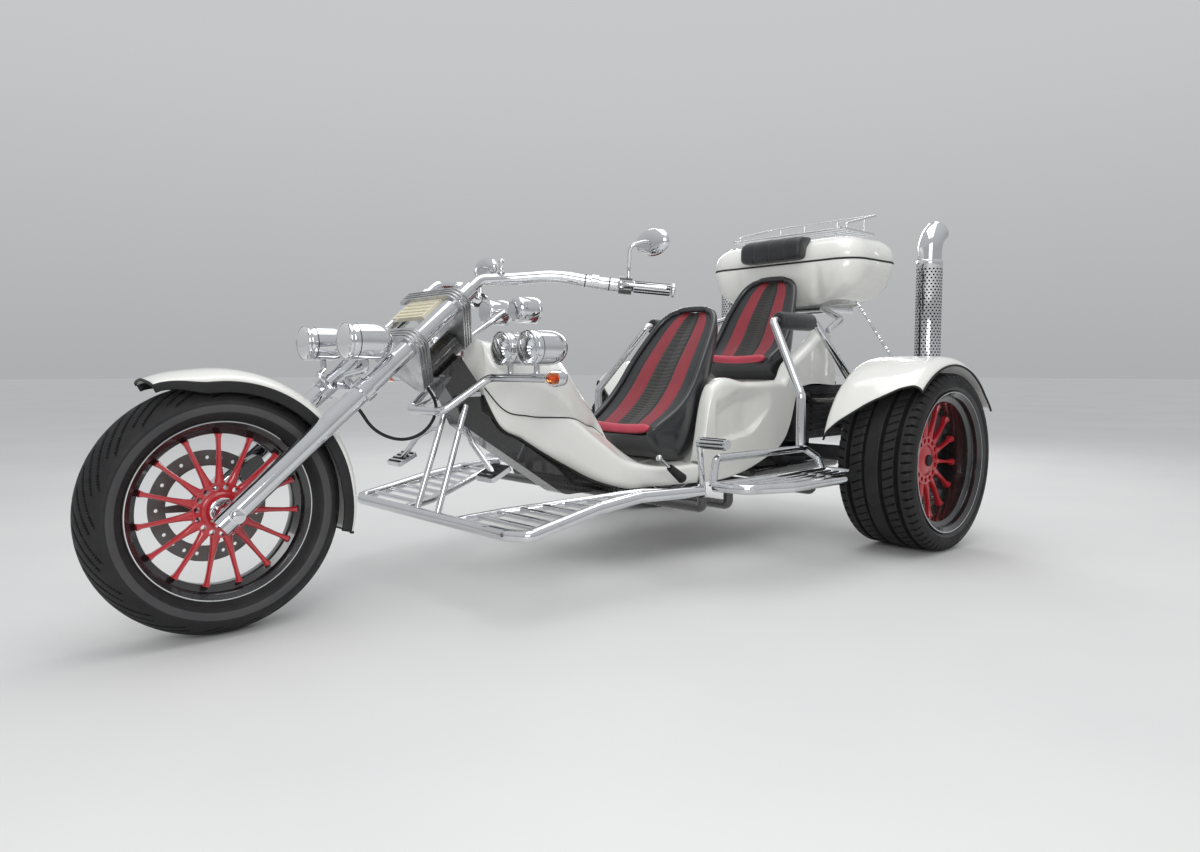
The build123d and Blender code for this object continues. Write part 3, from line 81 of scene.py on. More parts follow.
class Look:
    """Nodes of one material. Patterns use object coordinates, so that they stay with their piece at every pose."""

    def __init__(self, name):
        self.material = bpy.data.materials.new(name)
        self.material.use_nodes = True
        tree = self.material.node_tree
        self.nodes, self.links = tree.nodes, tree.links
        self.shader = tree.nodes["Principled BSDF"]

    def fill(self, node, values):
        """Sets a node's sockets to values, or links other nodes' sockets to them."""
        for key, value in values.items():
            if isinstance(value, bpy.types.NodeSocket):
                self.links.new(value, node.inputs[key])
            else:
                node.inputs[key].default_value = value

    def add(self, kind, output, values, **settings):
        """New node with its settings and sockets filled. Gives one of its outputs."""
        node = self.nodes.new(kind)
        for setting, value in settings.items():
            setattr(node, setting, value)
        self.fill(node, values)
        return node.outputs[output]

    def place(self, scale):
        scales = scale if hasattr(scale, "__len__") else (scale,) * 3
        where = self.add("ShaderNodeTexCoord", "Object", {})
        return self.add("ShaderNodeMapping", "Vector", {"Vector": where, "Scale": scales})

    def noise(self, scale, detail=4, roughness=0.55):
        return self.add("ShaderNodeTexNoise", "Fac", {
            "Scale": 1.0, "Detail": detail, "Roughness": roughness, "Vector": self.place(scale)})

    def cells(self, scale):
        return self.add("ShaderNodeTexVoronoi", "Distance", {"Scale": 1.0, "Vector": self.place(scale)})

    def rings(self, centre):
        """Fine rings about a wheel's axis."""
        where = self.add("ShaderNodeTexCoord", "Object", {})
        offset = self.add("ShaderNodeVectorMath", 0, {0: where, 1: centre}, operation="SUBTRACT")
        flat = self.add("ShaderNodeVectorMath", 0, {0: offset, 1: (1, 0, 1)}, operation="MULTIPLY")
        radius = self.add("ShaderNodeVectorMath", "Value", {0: flat}, operation="LENGTH")
        return self.add("ShaderNodeTexNoise", "Fac", {"Scale": 900, "W": radius}, noise_dimensions="1D")

    def ramp(self, value, low, high, from_value=0.0, to_value=1.0):
        """Value mapped from the range low to high on to another one, held at the ends."""
        return self.add("ShaderNodeMapRange", "Result", {
            "Value": value, "From Min": low, "From Max": high, "To Min": from_value, "To Max": to_value})

    def surface(self, share, colours, rough, height=None, depth=0.0, strength=1.0, **sockets):
        """Two colours mixed by a share, a roughness and a bump. Sockets are named with _ for a space."""
        first, second = colours
        values = {socket.replace("_", " "): value for socket, value in sockets.items()}
        ends = {"Factor": share, 6: (*first, 1), 7: (*second, 1)}
        values["Base Color"] = self.add("ShaderNodeMix", 2, ends, data_type="RGBA")
        values["Roughness"] = rough
        if height is not None:
            values["Normal"] = self.add("ShaderNodeBump", "Normal", {
                "Height": height, "Distance": depth, "Strength": strength})
        self.fill(self.shader, values)
        return self.material


def chrome(name, colour, low_rough, high_rough, grime=0.35):
    """Bright plate with faint smudges and darker film in patches."""
    look = Look(name)
    return look.surface(look.ramp(look.noise(23, 6), 0.5, 0.8, 0, grime), (colour, faded(colour, 0.72)),
                        look.ramp(look.noise(9), 0.35, 0.75, low_rough, high_rough),
                        look.noise(24, 2), 0.00001, Metallic=1.0)


def gloss_paint(name, colour, shade, rough=0.32, coat=1.0, peel=0.00006):
    """Coated paint: slow shade changes, orange peel in the coat and faint dust."""
    look = Look(name)
    return look.surface(look.ramp(look.noise(3.5, 3), 0.3, 0.7), (colour, shade),
                        look.ramp(look.noise(30, 5), 0.3, 0.8, rough, rough + 0.12),
                        look.noise(220, 2), peel, Coat_Weight=coat, Coat_Roughness=0.04)


def cast_metal(name, colour, rough, grain=240, depth=0.0003):
    """Sand-cast metal with a grainy skin."""
    look = Look(name)
    tone = look.noise(14, 6)
    return look.surface(look.ramp(tone, 0.35, 0.7), (colour, faded(colour, 0.55)),
                        look.ramp(tone, 0.3, 0.7, rough, rough + 0.2), look.noise(grain, 3), depth, Metallic=0.85)


def rubber(name, colour, dusty, rough, grain=500, depth=0.00015):
    """Matt rubber with dust in patches."""
    look = Look(name)
    return look.surface(look.ramp(look.noise(7, 7, 0.65), 0.42, 0.78, 0, 0.8), (colour, dusty),
                        look.ramp(look.noise(40, 4), 0.3, 0.7, rough, rough + 0.18),
                        look.noise(grain, 3), depth, Specular_IOR_Level=0.35)


def grained_leather(name, colour, worn, grain, rough):
    """Cover leather: fine pebbles from cells, with worn tone in patches."""
    look = Look(name)
    return look.surface(look.ramp(look.noise(12, 5), 0.35, 0.75, 0, 0.8), (colour, worn),
                        look.ramp(look.noise(50, 4), 0.3, 0.7, rough, rough + 0.14),
                        look.cells(grain), 0.0005, 0.6, Sheen_Weight=0.15)


def ribbed_fabric(name, colour, light, pitch):
    """Woven seat cloth with fine bright threads across its ribs."""
    look = Look(name)
    weave = look.noise((900, 260, 260), 2)
    return look.surface(look.ramp(weave, 0.45, 0.7), (colour, light), look.ramp(weave, 0.3, 0.7, 0.75, 0.95),
                        look.noise(pitch, 2), 0.0004, Sheen_Weight=0.3)


def brushed(name, colour, rough, centre):
    """Turned metal: fine rings about a wheel's axis."""
    look = Look(name)
    rings = look.rings(centre)
    return look.surface(look.ramp(rings, 0.4, 0.6), (colour, faded(colour, 0.6)),
                        look.ramp(rings, 0.3, 0.7, rough, rough + 0.15), rings, 0.0001, Metallic=1.0)


def glass(name, tint, rough=0.02):
    look = Look(name)
    look.fill(look.shader, {"Base Color": (*tint, 1), "Transmission Weight": 1.0, "IOR": 1.22,
                            "Roughness": look.ramp(look.noise(30), 0.3, 0.8, rough, rough + 0.04)})
    return look.material


bright = chrome("chrome_plate", (0.70, 0.71, 0.73), 0.035, 0.12)
dark_chrome = chrome("chrome_aged", (0.45, 0.46, 0.48), 0.12, 0.28)
white_paint = gloss_paint("white_gelcoat", (0.83, 0.83, 0.79), (0.79, 0.79, 0.75))
cream_paint = gloss_paint("cream_cover", (0.78, 0.74, 0.58), (0.72, 0.68, 0.52), 0.45, 0.3)
black_paint = gloss_paint("black_gloss", (0.008, 0.008, 0.009), (0.014, 0.014, 0.015), 0.2)
red_paint = gloss_paint("red_spokes", (0.50, 0.012, 0.022), (0.40, 0.008, 0.016), 0.3)
frame_paint = gloss_paint("frame_enamel", (0.014, 0.014, 0.015), (0.022, 0.021, 0.020), 0.22)
bucket_vinyl = gloss_paint("bucket_vinyl", (0.010, 0.011, 0.014), (0.016, 0.017, 0.020), 0.30, 0.6, 0.00002)
alloy = cast_metal("cast_alloy", (0.62, 0.63, 0.64), 0.22, 320, 0.0002)
iron = cast_metal("cast_iron", (0.06, 0.06, 0.065), 0.5)
tyre_rubber = rubber("tyre_tread", (0.011, 0.011, 0.012), (0.024, 0.0235, 0.023), 0.55)
# Near-black rubber for the groove faces: painted shade in the tyre's grooves
groove_painted_shade = rubber("tyre_groove_painted_shade", (0.0018, 0.0018, 0.0018), (0.004, 0.004, 0.004), 0.9)
# Lighter rubber for a smooth band on each wall: painted sheen
tyre_band_painted_sheen = rubber("tyre_side_band_painted_sheen", (0.050, 0.050, 0.052), (0.075, 0.074, 0.072), 0.42, 300, 0.00008)
soft_rubber = rubber("grip_rubber", (0.012, 0.012, 0.013), (0.022, 0.022, 0.022), 0.5, 700)
cable_rubber = rubber("cable_sleeve", (0.01, 0.01, 0.011), (0.02, 0.02, 0.02), 0.42, 900)
disc_steel = brushed("turned_steel", (0.20, 0.19, 0.185), 0.30, front_centre)
black_leather = grained_leather("black_leather", (0.011, 0.012, 0.015), (0.022, 0.023, 0.026), 420, 0.36)
red_leather = grained_leather("red_leather", (0.27, 0.012, 0.026), (0.20, 0.010, 0.020), 420, 0.42)
edge_leather = grained_leather("edge_leather", (0.55, 0.05, 0.09), (0.46, 0.04, 0.07), 420, 0.36)
centre_cloth = ribbed_fabric("centre_cloth", (0.012, 0.011, 0.010), (0.035, 0.032, 0.028), 300)
amber_paint = gloss_paint("amber_bulb", (0.75, 0.22, 0.03), (0.65, 0.18, 0.02), 0.3)
clear_glass = glass("lamp_glass", (0.98, 0.99, 1.0))
amber_glass = glass("amber_lens", (1.0, 0.52, 0.30), 0.05)
red_glass = glass("red_lens", (0.85, 0.05, 0.04), 0.05)
tail_red = gloss_paint("tail_bowl", (0.62, 0.015, 0.012), (0.50, 0.010, 0.010), 0.25)
reflector = chrome("lamp_reflector", (0.82, 0.83, 0.84), 0.03, 0.08, 0.05)
dial_black = rubber("dial_black", (0.012, 0.012, 0.013), (0.016, 0.016, 0.017), 0.5)
dial_white = gloss_paint("dial_marks", (0.75, 0.75, 0.72), (0.70, 0.70, 0.67), 0.5, 0.1)
# Soot inside the tips, and painted shade for the shield's holes
soot_and_painted_hole_shade = rubber("soot_and_painted_hole_shade", (0.010, 0.010, 0.010), (0.018, 0.017, 0.016), 0.8)


# Points and directions

def circle(count):
    """Angles evenly spread over a full turn."""
    return np.linspace(0, 2 * pi, count, endpoint=False)


def cross_axes(run):
    """Two directions square to a run and to each other."""
    across = run.orthogonal().normalized()
    return across, run.cross(across)


def wheel_axes(turn):
    """Directions outward and around at an angle in a wheel's plane."""
    return Vector((cos(turn), 0, sin(turn))), Vector((-sin(turn), 0, cos(turn)))


def mirrored(line):
    """Points of a profile on its other side, in the opposite order."""
    return [(-across, level) for across, level in line[::-1]]


def flip(points):
    """Points on the other side of the trike."""
    return [Vector((point[0], -point[1], point[2])) for point in points]


def round_path(points, cut, steps=6):
    """Polyline with each inner corner replaced by a curve that starts one cut before it."""
    points = [Vector(point) for point in points]
    cuts = cut if hasattr(cut, "__len__") else [cut] * (len(points) - 2)
    path = [points[0]]
    for before, corner, after, reach in zip(points, points[1:], points[2:], cuts):
        back, ahead = before - corner, after - corner
        start = corner + back.normalized() * min(reach, back.length * 0.48)
        end = corner + ahead.normalized() * min(reach, ahead.length * 0.48)
        for t in np.linspace(0, 1, steps):
            path.append(start * (1 - t) ** 2 + corner * 2 * t * (1 - t) + end * t**2)
    path.append(points[-1])
    return path


def flat_path(points, cut, steps):
    """Round path through points of two numbers."""
    return [(point.x, point.y) for point in round_path([(x, y, 0) for x, y in points], cut, steps)]


def curve_through(table, place):
    """Smooth value at a place from a table of place and value, flat beyond its ends."""
    table = np.array(table, dtype=float)
    x, y = table[:, 0], table[:, 1]
    slope = np.gradient(y, x)
    place = np.clip(place, x[0], x[-1])
    index = np.clip(np.searchsorted(x, place, side="right") - 1, 0, len(x) - 2)
    step = x[index + 1] - x[index]
    t = (place - x[index]) / step
    return ((2 * t**3 - 3 * t**2 + 1) * y[index] + (t**3 - 2 * t**2 + t) * step * slope[index]
            + (3 * t**2 - 2 * t**3) * y[index + 1] + (t**3 - t**2) * step * slope[index + 1])


def ease(value, start, end):
    """Zero before the start and one after the end, with a smooth rise between them."""
    t = np.clip((value - start) / (end - start), 0, 1)
    return t * t * (3 - 2 * t)


# Pieces

def add_object(name, data):
    item = bpy.data.objects.new(name, data)
    bpy.context.scene.collection.objects.link(item)
    return item


def add_piece(name, data, body, replaces):
    piece = add_object(name, data)
    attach(piece, body)
    if replaces:
        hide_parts(replaces)
    return piece


class Shape:
    """Vertices and faces of one piece, gathered from simple forms. A mark picks the face's material."""

    def __init__(self):
        self.vertices = []
        self.faces = []
        self.marks = []

    def add(self, vertices, faces, mark=0):
        start = len(self.vertices)
        self.vertices.extend(Vector(vertex) for vertex in vertices)
        self.faces.extend(tuple(start + index for index in face) for face in faces)
        self.marks.extend([mark] * len(faces))

    def skin(self, rings, closed=True, loop=False, caps=(False, False), mark=0):
        """Quads between rings with the same number of points."""
        count = len(rings[0])
        vertices = [point for ring in rings for point in ring]
        last = len(rings) if loop else len(rings) - 1
        across = count if closed else count - 1
        faces = []
        for row in range(last):
            base, following = row * count, (row + 1) % len(rings) * count
            for column in range(across):
                beside = (column + 1) % count
                faces.append((base + column, base + beside, following + beside, following + column))
        if caps[0]:
            faces.append(tuple(range(count))[::-1])
        if caps[1]:
            faces.append(tuple(range((len(rings) - 1) * count, len(rings) * count)))
        self.add(vertices, faces, mark)

    def revolve(self, profile, origin, axis, count=48, closed=False, mark=0):
        """Profile of axial distance and radius, turned about an axis through the origin."""
        origin, axis = Vector(origin), Vector(axis).normalized()
        across, up = cross_axes(axis)
        self.skin([[origin + axis * along + (across * cos(turn) + up * sin(turn)) * radius
                    for along, radius in profile] for turn in circle(count)], closed=closed, loop=True, mark=mark)

    def block(self, centre, size, turn=Matrix.Identity(3), bevel=0.0, mark=0):
        """Box with its edges cut back."""
        half = [length / 2 for length in size]
        cut = min(bevel, min(half) * 0.6)
        rings = []
        for z, inset in ((-half[2], cut), (-half[2] + cut, 0), (half[2] - cut, 0), (half[2], cut)):
            x, y = half[0] - inset, half[1] - inset
            line = [(x - cut, -y), (x, -y + cut), (x, y - cut), (x - cut, y),
                    (-x + cut, y), (-x, y - cut), (-x, -y + cut), (-x + cut, -y)]
            rings.append([Vector(centre) + turn @ Vector((*point, z)) for point in line])
        self.skin(rings, caps=(True, True), mark=mark)

    def pipe(self, points, radius, sides=16, caps=(True, True), mark=0):
        """Round pipe along a path, with one radius or one for each point."""
        points = [Vector(point) for point in points]
        radii = radius if hasattr(radius, "__len__") else [radius] * len(points)
        across = (points[1] - points[0]).normalized().orthogonal().normalized()
        rings = []
        for index, point in enumerate(points):
            run = (points[min(index + 1, len(points) - 1)] - points[max(index - 1, 0)]).normalized()
            across = (across - run * across.dot(run)).normalized()
            up = run.cross(across)
            rings.append([point + (across * cos(turn) + up * sin(turn)) * radii[index] for turn in circle(sides)])
        self.skin(rings, caps=caps, mark=mark)

    def roller(self, start, end, radius):
        """Round bar between two points, with rounded ends."""
        length = (end - start).length
        near = [(0, radius * 0.5), (0.0005, radius * 0.8), (0.004, radius * 0.95), (0.010, radius)]
        self.revolve(near + [(length - along, r) for along, r in near[::-1]], start, end - start, 40)

    def bolt_head(self, point, axis, radius, height, mark=0):
        """Domed hexagon head on a washer."""
        rise = height * 0.25
        self.revolve([(0, 0), (0, radius * 1.35), (rise, radius * 1.35), (rise, 0)], point, axis, 20, mark=mark)
        self.revolve([(rise, radius), (height * 0.85, radius), (height, radius * 0.8), (height, 0)],
                     point, axis, 6, mark=mark)

    def turn_over(self):
        self.faces = [face[::-1] for face in self.faces]

    def make(self, name, materials, slot, body="root", replaces=None, sharp=None, wall=None, fill=None):
        """Piece on its body. Sharp keeps edges crisp beyond an angle and wall thickens a skin. Fill is not used."""
        mesh = bpy.data.meshes.new(name)
        mesh.from_pydata([tuple(vertex) for vertex in self.vertices], [], self.faces)
        mesh.update()
        mesh.polygons.foreach_set("use_smooth", [True] * len(mesh.polygons))
        mesh.polygons.foreach_set("material_index", self.marks)
        for material in materials:
            mesh.materials.append(material)
        if sharp:
            mesh.set_sharp_from_angle(angle=radians(sharp))
        piece = add_piece(name, mesh, body, replaces)
        if wall:
            modifier = piece.modifiers.new("wall", "SOLIDIFY")
            modifier.thickness = wall
            modifier.offset = -1

    def make_shell(self, name, replaces, body="root", sharp=None, wall=0.004):
        """White panel from a skin whose faces look inwards."""
        self.turn_over()
        self.make(name, [white_paint], "white_shell", body, replaces, sharp, wall)


# Carried-over CAD nodes and their finishes
node_finishes = {
    bright: ["fork_legs", "handlebar", "front_hoop", "foot_boards", "foot_controls", "armrests",
             "luggage_rack", "lamp_bar", "rear_bumper", "trunk_carrier", "lamp_brace"],
    alloy: ["yokes"],
    cream_paint: ["fork_cover"],
    disc_steel: ["front_brake_disc"],
    black_paint: ["brake_caliper", "switch_blocks"],
    frame_paint: ["frame", "fender_stays"],
    iron: ["engine_block", "rear_axle"],
}
for finish, names in node_finishes.items():
    for name in names:
        mesh = frame["nodes"][name].data
        mesh.materials.clear()
        mesh.materials.append(finish)


# Wheels

# Faces pressed in by more than this share of a groove's depth get a darker rubber: painted shade in the grooves
sunk_share = 0.34


def tyre(end, suffix, centre, profile, bands, groove, groove_depth, around):
    """Tyre with its tread pressed in. The profile is the crown over the tread and the wall back round to it."""
    crown, wall = profile
    side, rolling = np.array(crown + wall).T
    spans = np.hypot(np.diff(side), np.diff(rolling))[:len(crown) - 1]
    across = np.concatenate([[0], np.cumsum(spans)])
    across -= across[-1] / 2
    turns, column, row = circle(around), np.arange(len(side)), np.arange(around)[:, None]
    depth = groove_depth * groove(*np.meshgrid(turns, across, indexing="ij"))
    radius = np.tile(rolling, (around, 1))
    radius[:, :len(crown)] -= depth
    points = np.stack([centre.x + radius * np.cos(turns)[:, None], centre.y + np.tile(side, (around, 1)),
                       centre.z + radius * np.sin(turns)[:, None]], axis=2)
    beside, base, following = (column + 1) % len(side), row * len(side), (row + 1) % around * len(side)
    faces = np.stack([base + column, following + column, following + beside, base + beside], axis=2)
    ahead = np.roll(depth, -1, axis=0)
    sunk = (depth[:, :-1] + depth[:, 1:] + ahead[:, :-1] + ahead[:, 1:]) / 4
    marks = np.tile([int(k in bands) for k in column], (around, 1))
    # Sunk faces take the darker rubber: painted shade in the grooves
    marks[:, :sunk.shape[1]][sunk > groove_depth * sunk_share] = 2
    shape = Shape()
    shape.vertices = points.reshape(-1, 3).tolist()
    shape.faces = faces.reshape(-1, 4).tolist()
    shape.marks = marks.reshape(-1).tolist()
    shape.make(f"{end}_tyre_tread{suffix}", [tyre_rubber, tyre_band_painted_sheen, groove_painted_shade], "tyre", f"{end}_wheel{suffix}",
               f"{end}_tyre{suffix}")


def soft_step(value, edge, width):
    """One where value is well under the edge, zero well over it."""
    return np.clip((edge - value) / width + 0.5, 0, 1)


def groove_gap(phase, count, radius):
    """Distance round the tyre from the nearest of a count of grooves."""
    return np.abs(phase - np.round(phase)) * 2 * pi * radius / count


front_tyre_radius, front_lip = 0.328, 0.236
front_tread_count = 42
front_tread_sweep = radians(25)
# Radius that turns a share of the front tread's pitch into the distance its groove widths are compared with
front_gap_radius = 0.1984


def front_groove(turn, across):
    """Curved grooves that sweep back from near the centre line to the shoulder, on both sides by turns."""
    reach = np.abs(across)
    bend = front_tread_sweep * (reach / 0.080) ** 1.35
    phase = (turn + bend) / (2 * pi) * front_tread_count + np.where(across > 0, 0.5, 0.0)
    longer = np.mod(np.round(phase), 2)
    ends = soft_step(reach, 0.070 + 0.014 * longer, 0.004) * (1 - soft_step(reach, 0.008, 0.004))
    return soft_step(groove_gap(phase, front_tread_count, front_gap_radius), 0.0027, 0.0014) * ends


def front_profile():
    """Crown points of the front tyre and its walls back round the inside."""
    radius, lip, half, drop, bead = front_tyre_radius, front_lip, 0.085, 0.044, 0.050
    round_radius = (half**2 + drop**2) / (2 * drop)
    span = asin(half / round_radius)
    crown = [
        (round_radius * sin(t), radius - round_radius * (1 - cos(t))) for t in np.linspace(span, -span, 64)
    ]
    wall = [(-half - 0.0005, radius - 0.052), (-half + 0.001, radius - 0.064), (-half + 0.004, radius - 0.071),
            (-half + 0.0048, radius - 0.0725), (-half + 0.010, lip + 0.013), (-half + 0.022, lip + 0.005),
            (-bead, lip - 0.003), (-bead, lip - 0.0115)]
    inside = [(-bead + 0.014, lip - 0.0115), (-half + 0.014, radius - 0.05)]
    return crown, wall + inside + [(0, radius - 0.017)] + mirrored(inside) + mirrored(wall)


rear_tyre_radius, rear_lip = 0.340, 0.270
rear_tread_grooves = (-0.094, -0.034, 0.034, 0.094)
rear_tread_count = 62


def rear_groove(turn, across):
    """Four round grooves, slanted sipes between them and cross cuts on the shoulders."""
    reach = np.abs(across)
    phase = turn / (2 * pi) * rear_tread_count
    sipe = soft_step(groove_gap(phase + across / 0.075, rear_tread_count, rear_tyre_radius), 0.0028, 0.0014)
    cut = soft_step(groove_gap(phase - reach / 0.20, rear_tread_count, rear_tyre_radius), 0.0032, 0.0015)
    outer = (1 - soft_step(reach, 0.112, 0.004)) * soft_step(reach, 0.153, 0.008)
    result = np.maximum(sipe * soft_step(np.abs(reach - 0.064), 0.020, 0.004) * 0.7, cut * outer * 0.8)
    for place in rear_tread_grooves:
        result = np.maximum(result, soft_step(np.abs(across - place), 0.0066, 0.003))
    return result


def rear_profile():
    """Crown points of a rear tyre, with round shoulders, and its walls back round the inside."""
    lip, half, bead, shoulder = rear_lip, 0.150, 0.135, rear_tyre_radius - 0.012
    flat = [(side, rear_tyre_radius - 0.004 * (side / 0.128) ** 2) for side in np.linspace(0.128, -0.128, 74)]
    round_off = [(-0.134, shoulder + 0.006), (-0.1395, shoulder + 0.002), (-0.144, shoulder - 0.004),
                 (-0.147, shoulder - 0.011)]
    wall = [(-half, shoulder - 0.026), (-half + 0.0005, shoulder - 0.034), (-half + 0.0022, shoulder - 0.036),
            (-half + 0.0022, shoulder - 0.044), (-bead, lip + 0.003), (-bead, lip - 0.0115),
            (-bead + 0.016, lip - 0.0115), (-half + 0.016, shoulder - 0.03), (-half + 0.03, shoulder - 0.011)]
    return mirrored(round_off) + flat + round_off, wall + mirrored(wall)


# Bands are the rows of faces that make the lighter line on each wall: painted sheen of its smooth band
tyre("front", "", front_centre, front_profile(), bands=(64, 65, 82, 83), groove=front_groove,
     groove_depth=0.0065, around=900)
for side_word, centre in rear_centres.items():
    tyre("rear", f"_{side_word}", centre, rear_profile(), bands=(85, 95), groove=rear_groove,
         groove_depth=0.009, around=620)

spoke_count = 15


def rounded_ring(half_wide, half_deep):
    """Ring of a rounded rectangle about the origin."""
    ring = []
    for turn in circle(12):
        c, s = cos(turn), sin(turn)
        reach = (abs(c) ** 3 + abs(s) ** 3) ** (-1 / 3)
        ring.append((c * reach * half_wide, s * reach * half_deep))
    return ring


def sector_edge(angle, middle, plate, half_turn):
    """Distance from a hole's centre to its sector's border, in one direction."""
    inner, outer = plate["inner"], plate["outer"]
    low, high = 0.0, outer
    for _ in range(26):
        reach = (low + high) / 2
        x, y = middle + reach * cos(angle), reach * sin(angle)
        inside = inner < (x * x + y * y) ** 0.5 < outer and abs(atan2(y, x)) < half_turn
        low, high = (reach, high) if inside else (low, reach)
    return low


def drilled_plate(shape, centre, outer_sign, plate, mark):
    """Flange with a ring of round holes through it."""
    half_turn = pi / spoke_count
    middle, radius, near, far, outer = (plate[key] for key in ("ring", "hole", "near", "far", "outer"))
    corners = [atan2(r * sin(t), r * cos(t) - middle)
               for r in (plate["inner"], outer) for t in (half_turn, -half_turn)]
    angles = sorted(set(np.linspace(-pi, pi, 29)[:-1]) | set(corners))
    reaches = [sector_edge(a, middle, plate, half_turn) for a in angles]
    outline = [(middle + reach * cos(a), reach * sin(a)) for a, reach in zip(angles, reaches)]
    hole = [(middle + radius * cos(a), radius * sin(a)) for a in angles]
    for turn in circle(spoke_count) + half_turn + pi / 2:
        outward, around = wheel_axes(turn)
        shape.skin([[centre + outward * x + around * y + side_axis * (outer_sign * level) for x, y in line]
                    for line, level in ((outline, near), (hole, near), (hole, far), (outline, far))], mark=mark)
    edge = [(near, outer - 0.001), (near + 0.0015, outer), (far - 0.0015, outer), (far, outer - 0.001)]
    shape.revolve(edge, centre, side_axis * outer_sign, 90, mark=mark)


def rim(end, suffix, centre, lip, half_width, drop, hub, spoke_table, plate, outer_sign=1):
    """Rim with a stepped barrel, a polished lip line, a drilled hub and tapered spokes.

    Columns of the spokes: radius, half width round the wheel, half depth along the axle, place along the axle.
    """
    seat = lip - 0.012
    lip_in = half_width - 0.007
    shape = Shape()
    edge = [(half_width - 0.0015, lip - 0.0002), (half_width, lip - 0.0015), (half_width, lip - 0.0065),
            (half_width - 0.0015, lip - 0.008)]
    barrel = [
        (lip_in - 0.004, seat - 0.006), (lip_in - 0.006, seat - 0.0078), (lip_in - 0.020, seat - 0.008),
        (lip_in - 0.024, seat - 0.0095), (lip_in - 0.032, seat - drop - 0.0065), (lip_in - 0.036, seat - drop - 0.008),
    ]
    outer_skin = [(lip_in, lip), (lip_in, seat), (lip_in - 0.020, seat), (lip_in - 0.030, seat - drop)]
    shape.revolve(barrel + mirrored(barrel) + mirrored(edge) + mirrored(outer_skin[::-1]) + outer_skin[::-1],
                  centre, side_axis, 120)
    shape.revolve([outer_skin[0]] + edge + barrel[:1], centre, side_axis, 120)
    for sign in (1, -1):
        line = [(sign * (half_width + 0.0003), lip - 0.0036), (sign * (half_width + 0.0003), lip - 0.0060)]
        shape.revolve(line, centre, side_axis, 120, mark=1)
    drilled_plate(shape, centre, outer_sign, plate, 2)
    for turn in circle(spoke_count) + pi / 2:
        outward, around = wheel_axes(turn)
        shape.skin([[centre + outward * radius + around * wide + side_axis * (outer_sign * place + deep)
                     for wide, deep in rounded_ring(half_wide, half_deep)]
                    for radius, half_wide, half_deep, place in spoke_table], caps=(True, True), mark=2)
    shape.revolve(hub, centre, side_axis * outer_sign, 60, closed=True, mark=2)
    shape.make(f"{end}_rim_dressed{suffix}", [black_paint, bright, red_paint], "wheel_paint", f"{end}_wheel{suffix}",
               f"{end}_rim{suffix}", 40)


front_spokes = (
    (0.0665, 0.0125, 0.0095, 0.026), (0.076, 0.0118, 0.0110, 0.026), (0.092, 0.0090, 0.0105, 0.026),
    (0.125, 0.0066, 0.0092, 0.026), (0.165, 0.0056, 0.0085, 0.027), (0.188, 0.0064, 0.0095, 0.027),
    (0.197, 0.0090, 0.012, 0.027), (0.1995, 0.0090, 0.012, 0.027),
)
front_hub = [(-0.044, 0.0125), (-0.044, 0.040), (-0.036, 0.044), (0.010, 0.048), (0.036, 0.048), (0.041, 0.040),
             (0.050, 0.036), (0.050, 0.0125)]
front_plate = {"inner": 0.046, "outer": 0.072, "ring": 0.0605, "hole": 0.0072, "near": 0.016, "far": 0.036}
rim("front", "", front_centre, front_lip, half_width=0.057, drop=0.018, hub=front_hub, spoke_table=front_spokes,
    plate=front_plate)
seal = [(0.050, 0.034), (0.053, 0.034), (0.0545, 0.032), (0.0545, 0.025), (0.052, 0.0235), (0.052, 0.016)]
hub_seals = Shape()
hub_seals.revolve(seal, front_centre, side_axis, 48)
hub_seals.revolve([(along - 0.006, r) for along, r in seal], front_centre, -side_axis, 48)
hub_seals.make("front_hub_seals", [bright], "chrome", "front_wheel", sharp=40)

rear_spokes = (
    (0.088, 0.0155, 0.011, 0.030), (0.098, 0.0140, 0.013, 0.030), (0.118, 0.0100, 0.0125, 0.031),
    (0.160, 0.0072, 0.011, 0.033), (0.200, 0.0076, 0.011, 0.033), (0.216, 0.010, 0.013, 0.033),
    (0.226, 0.014, 0.017, 0.033), (0.2295, 0.014, 0.017, 0.033),
)
rear_hub = [(-0.030, 0.0225), (-0.030, 0.056), (-0.020, 0.060), (0.018, 0.062), (0.042, 0.061), (0.047, 0.052),
            (0.050, 0.046), (0.050, 0.0225)]
rear_plate = {"inner": 0.058, "outer": 0.092, "ring": 0.077, "hole": 0.0095, "near": 0.018, "far": 0.042}
for side_word, centre in rear_centres.items():
    rim("rear", f"_{side_word}", centre, rear_lip, half_width=0.142, drop=0.022, hub=rear_hub,
        spoke_table=rear_spokes, plate=rear_plate, outer_sign=1 if side_word == "left" else -1)


# Lamps: bullet housings with ring, glass, reflector and bulb

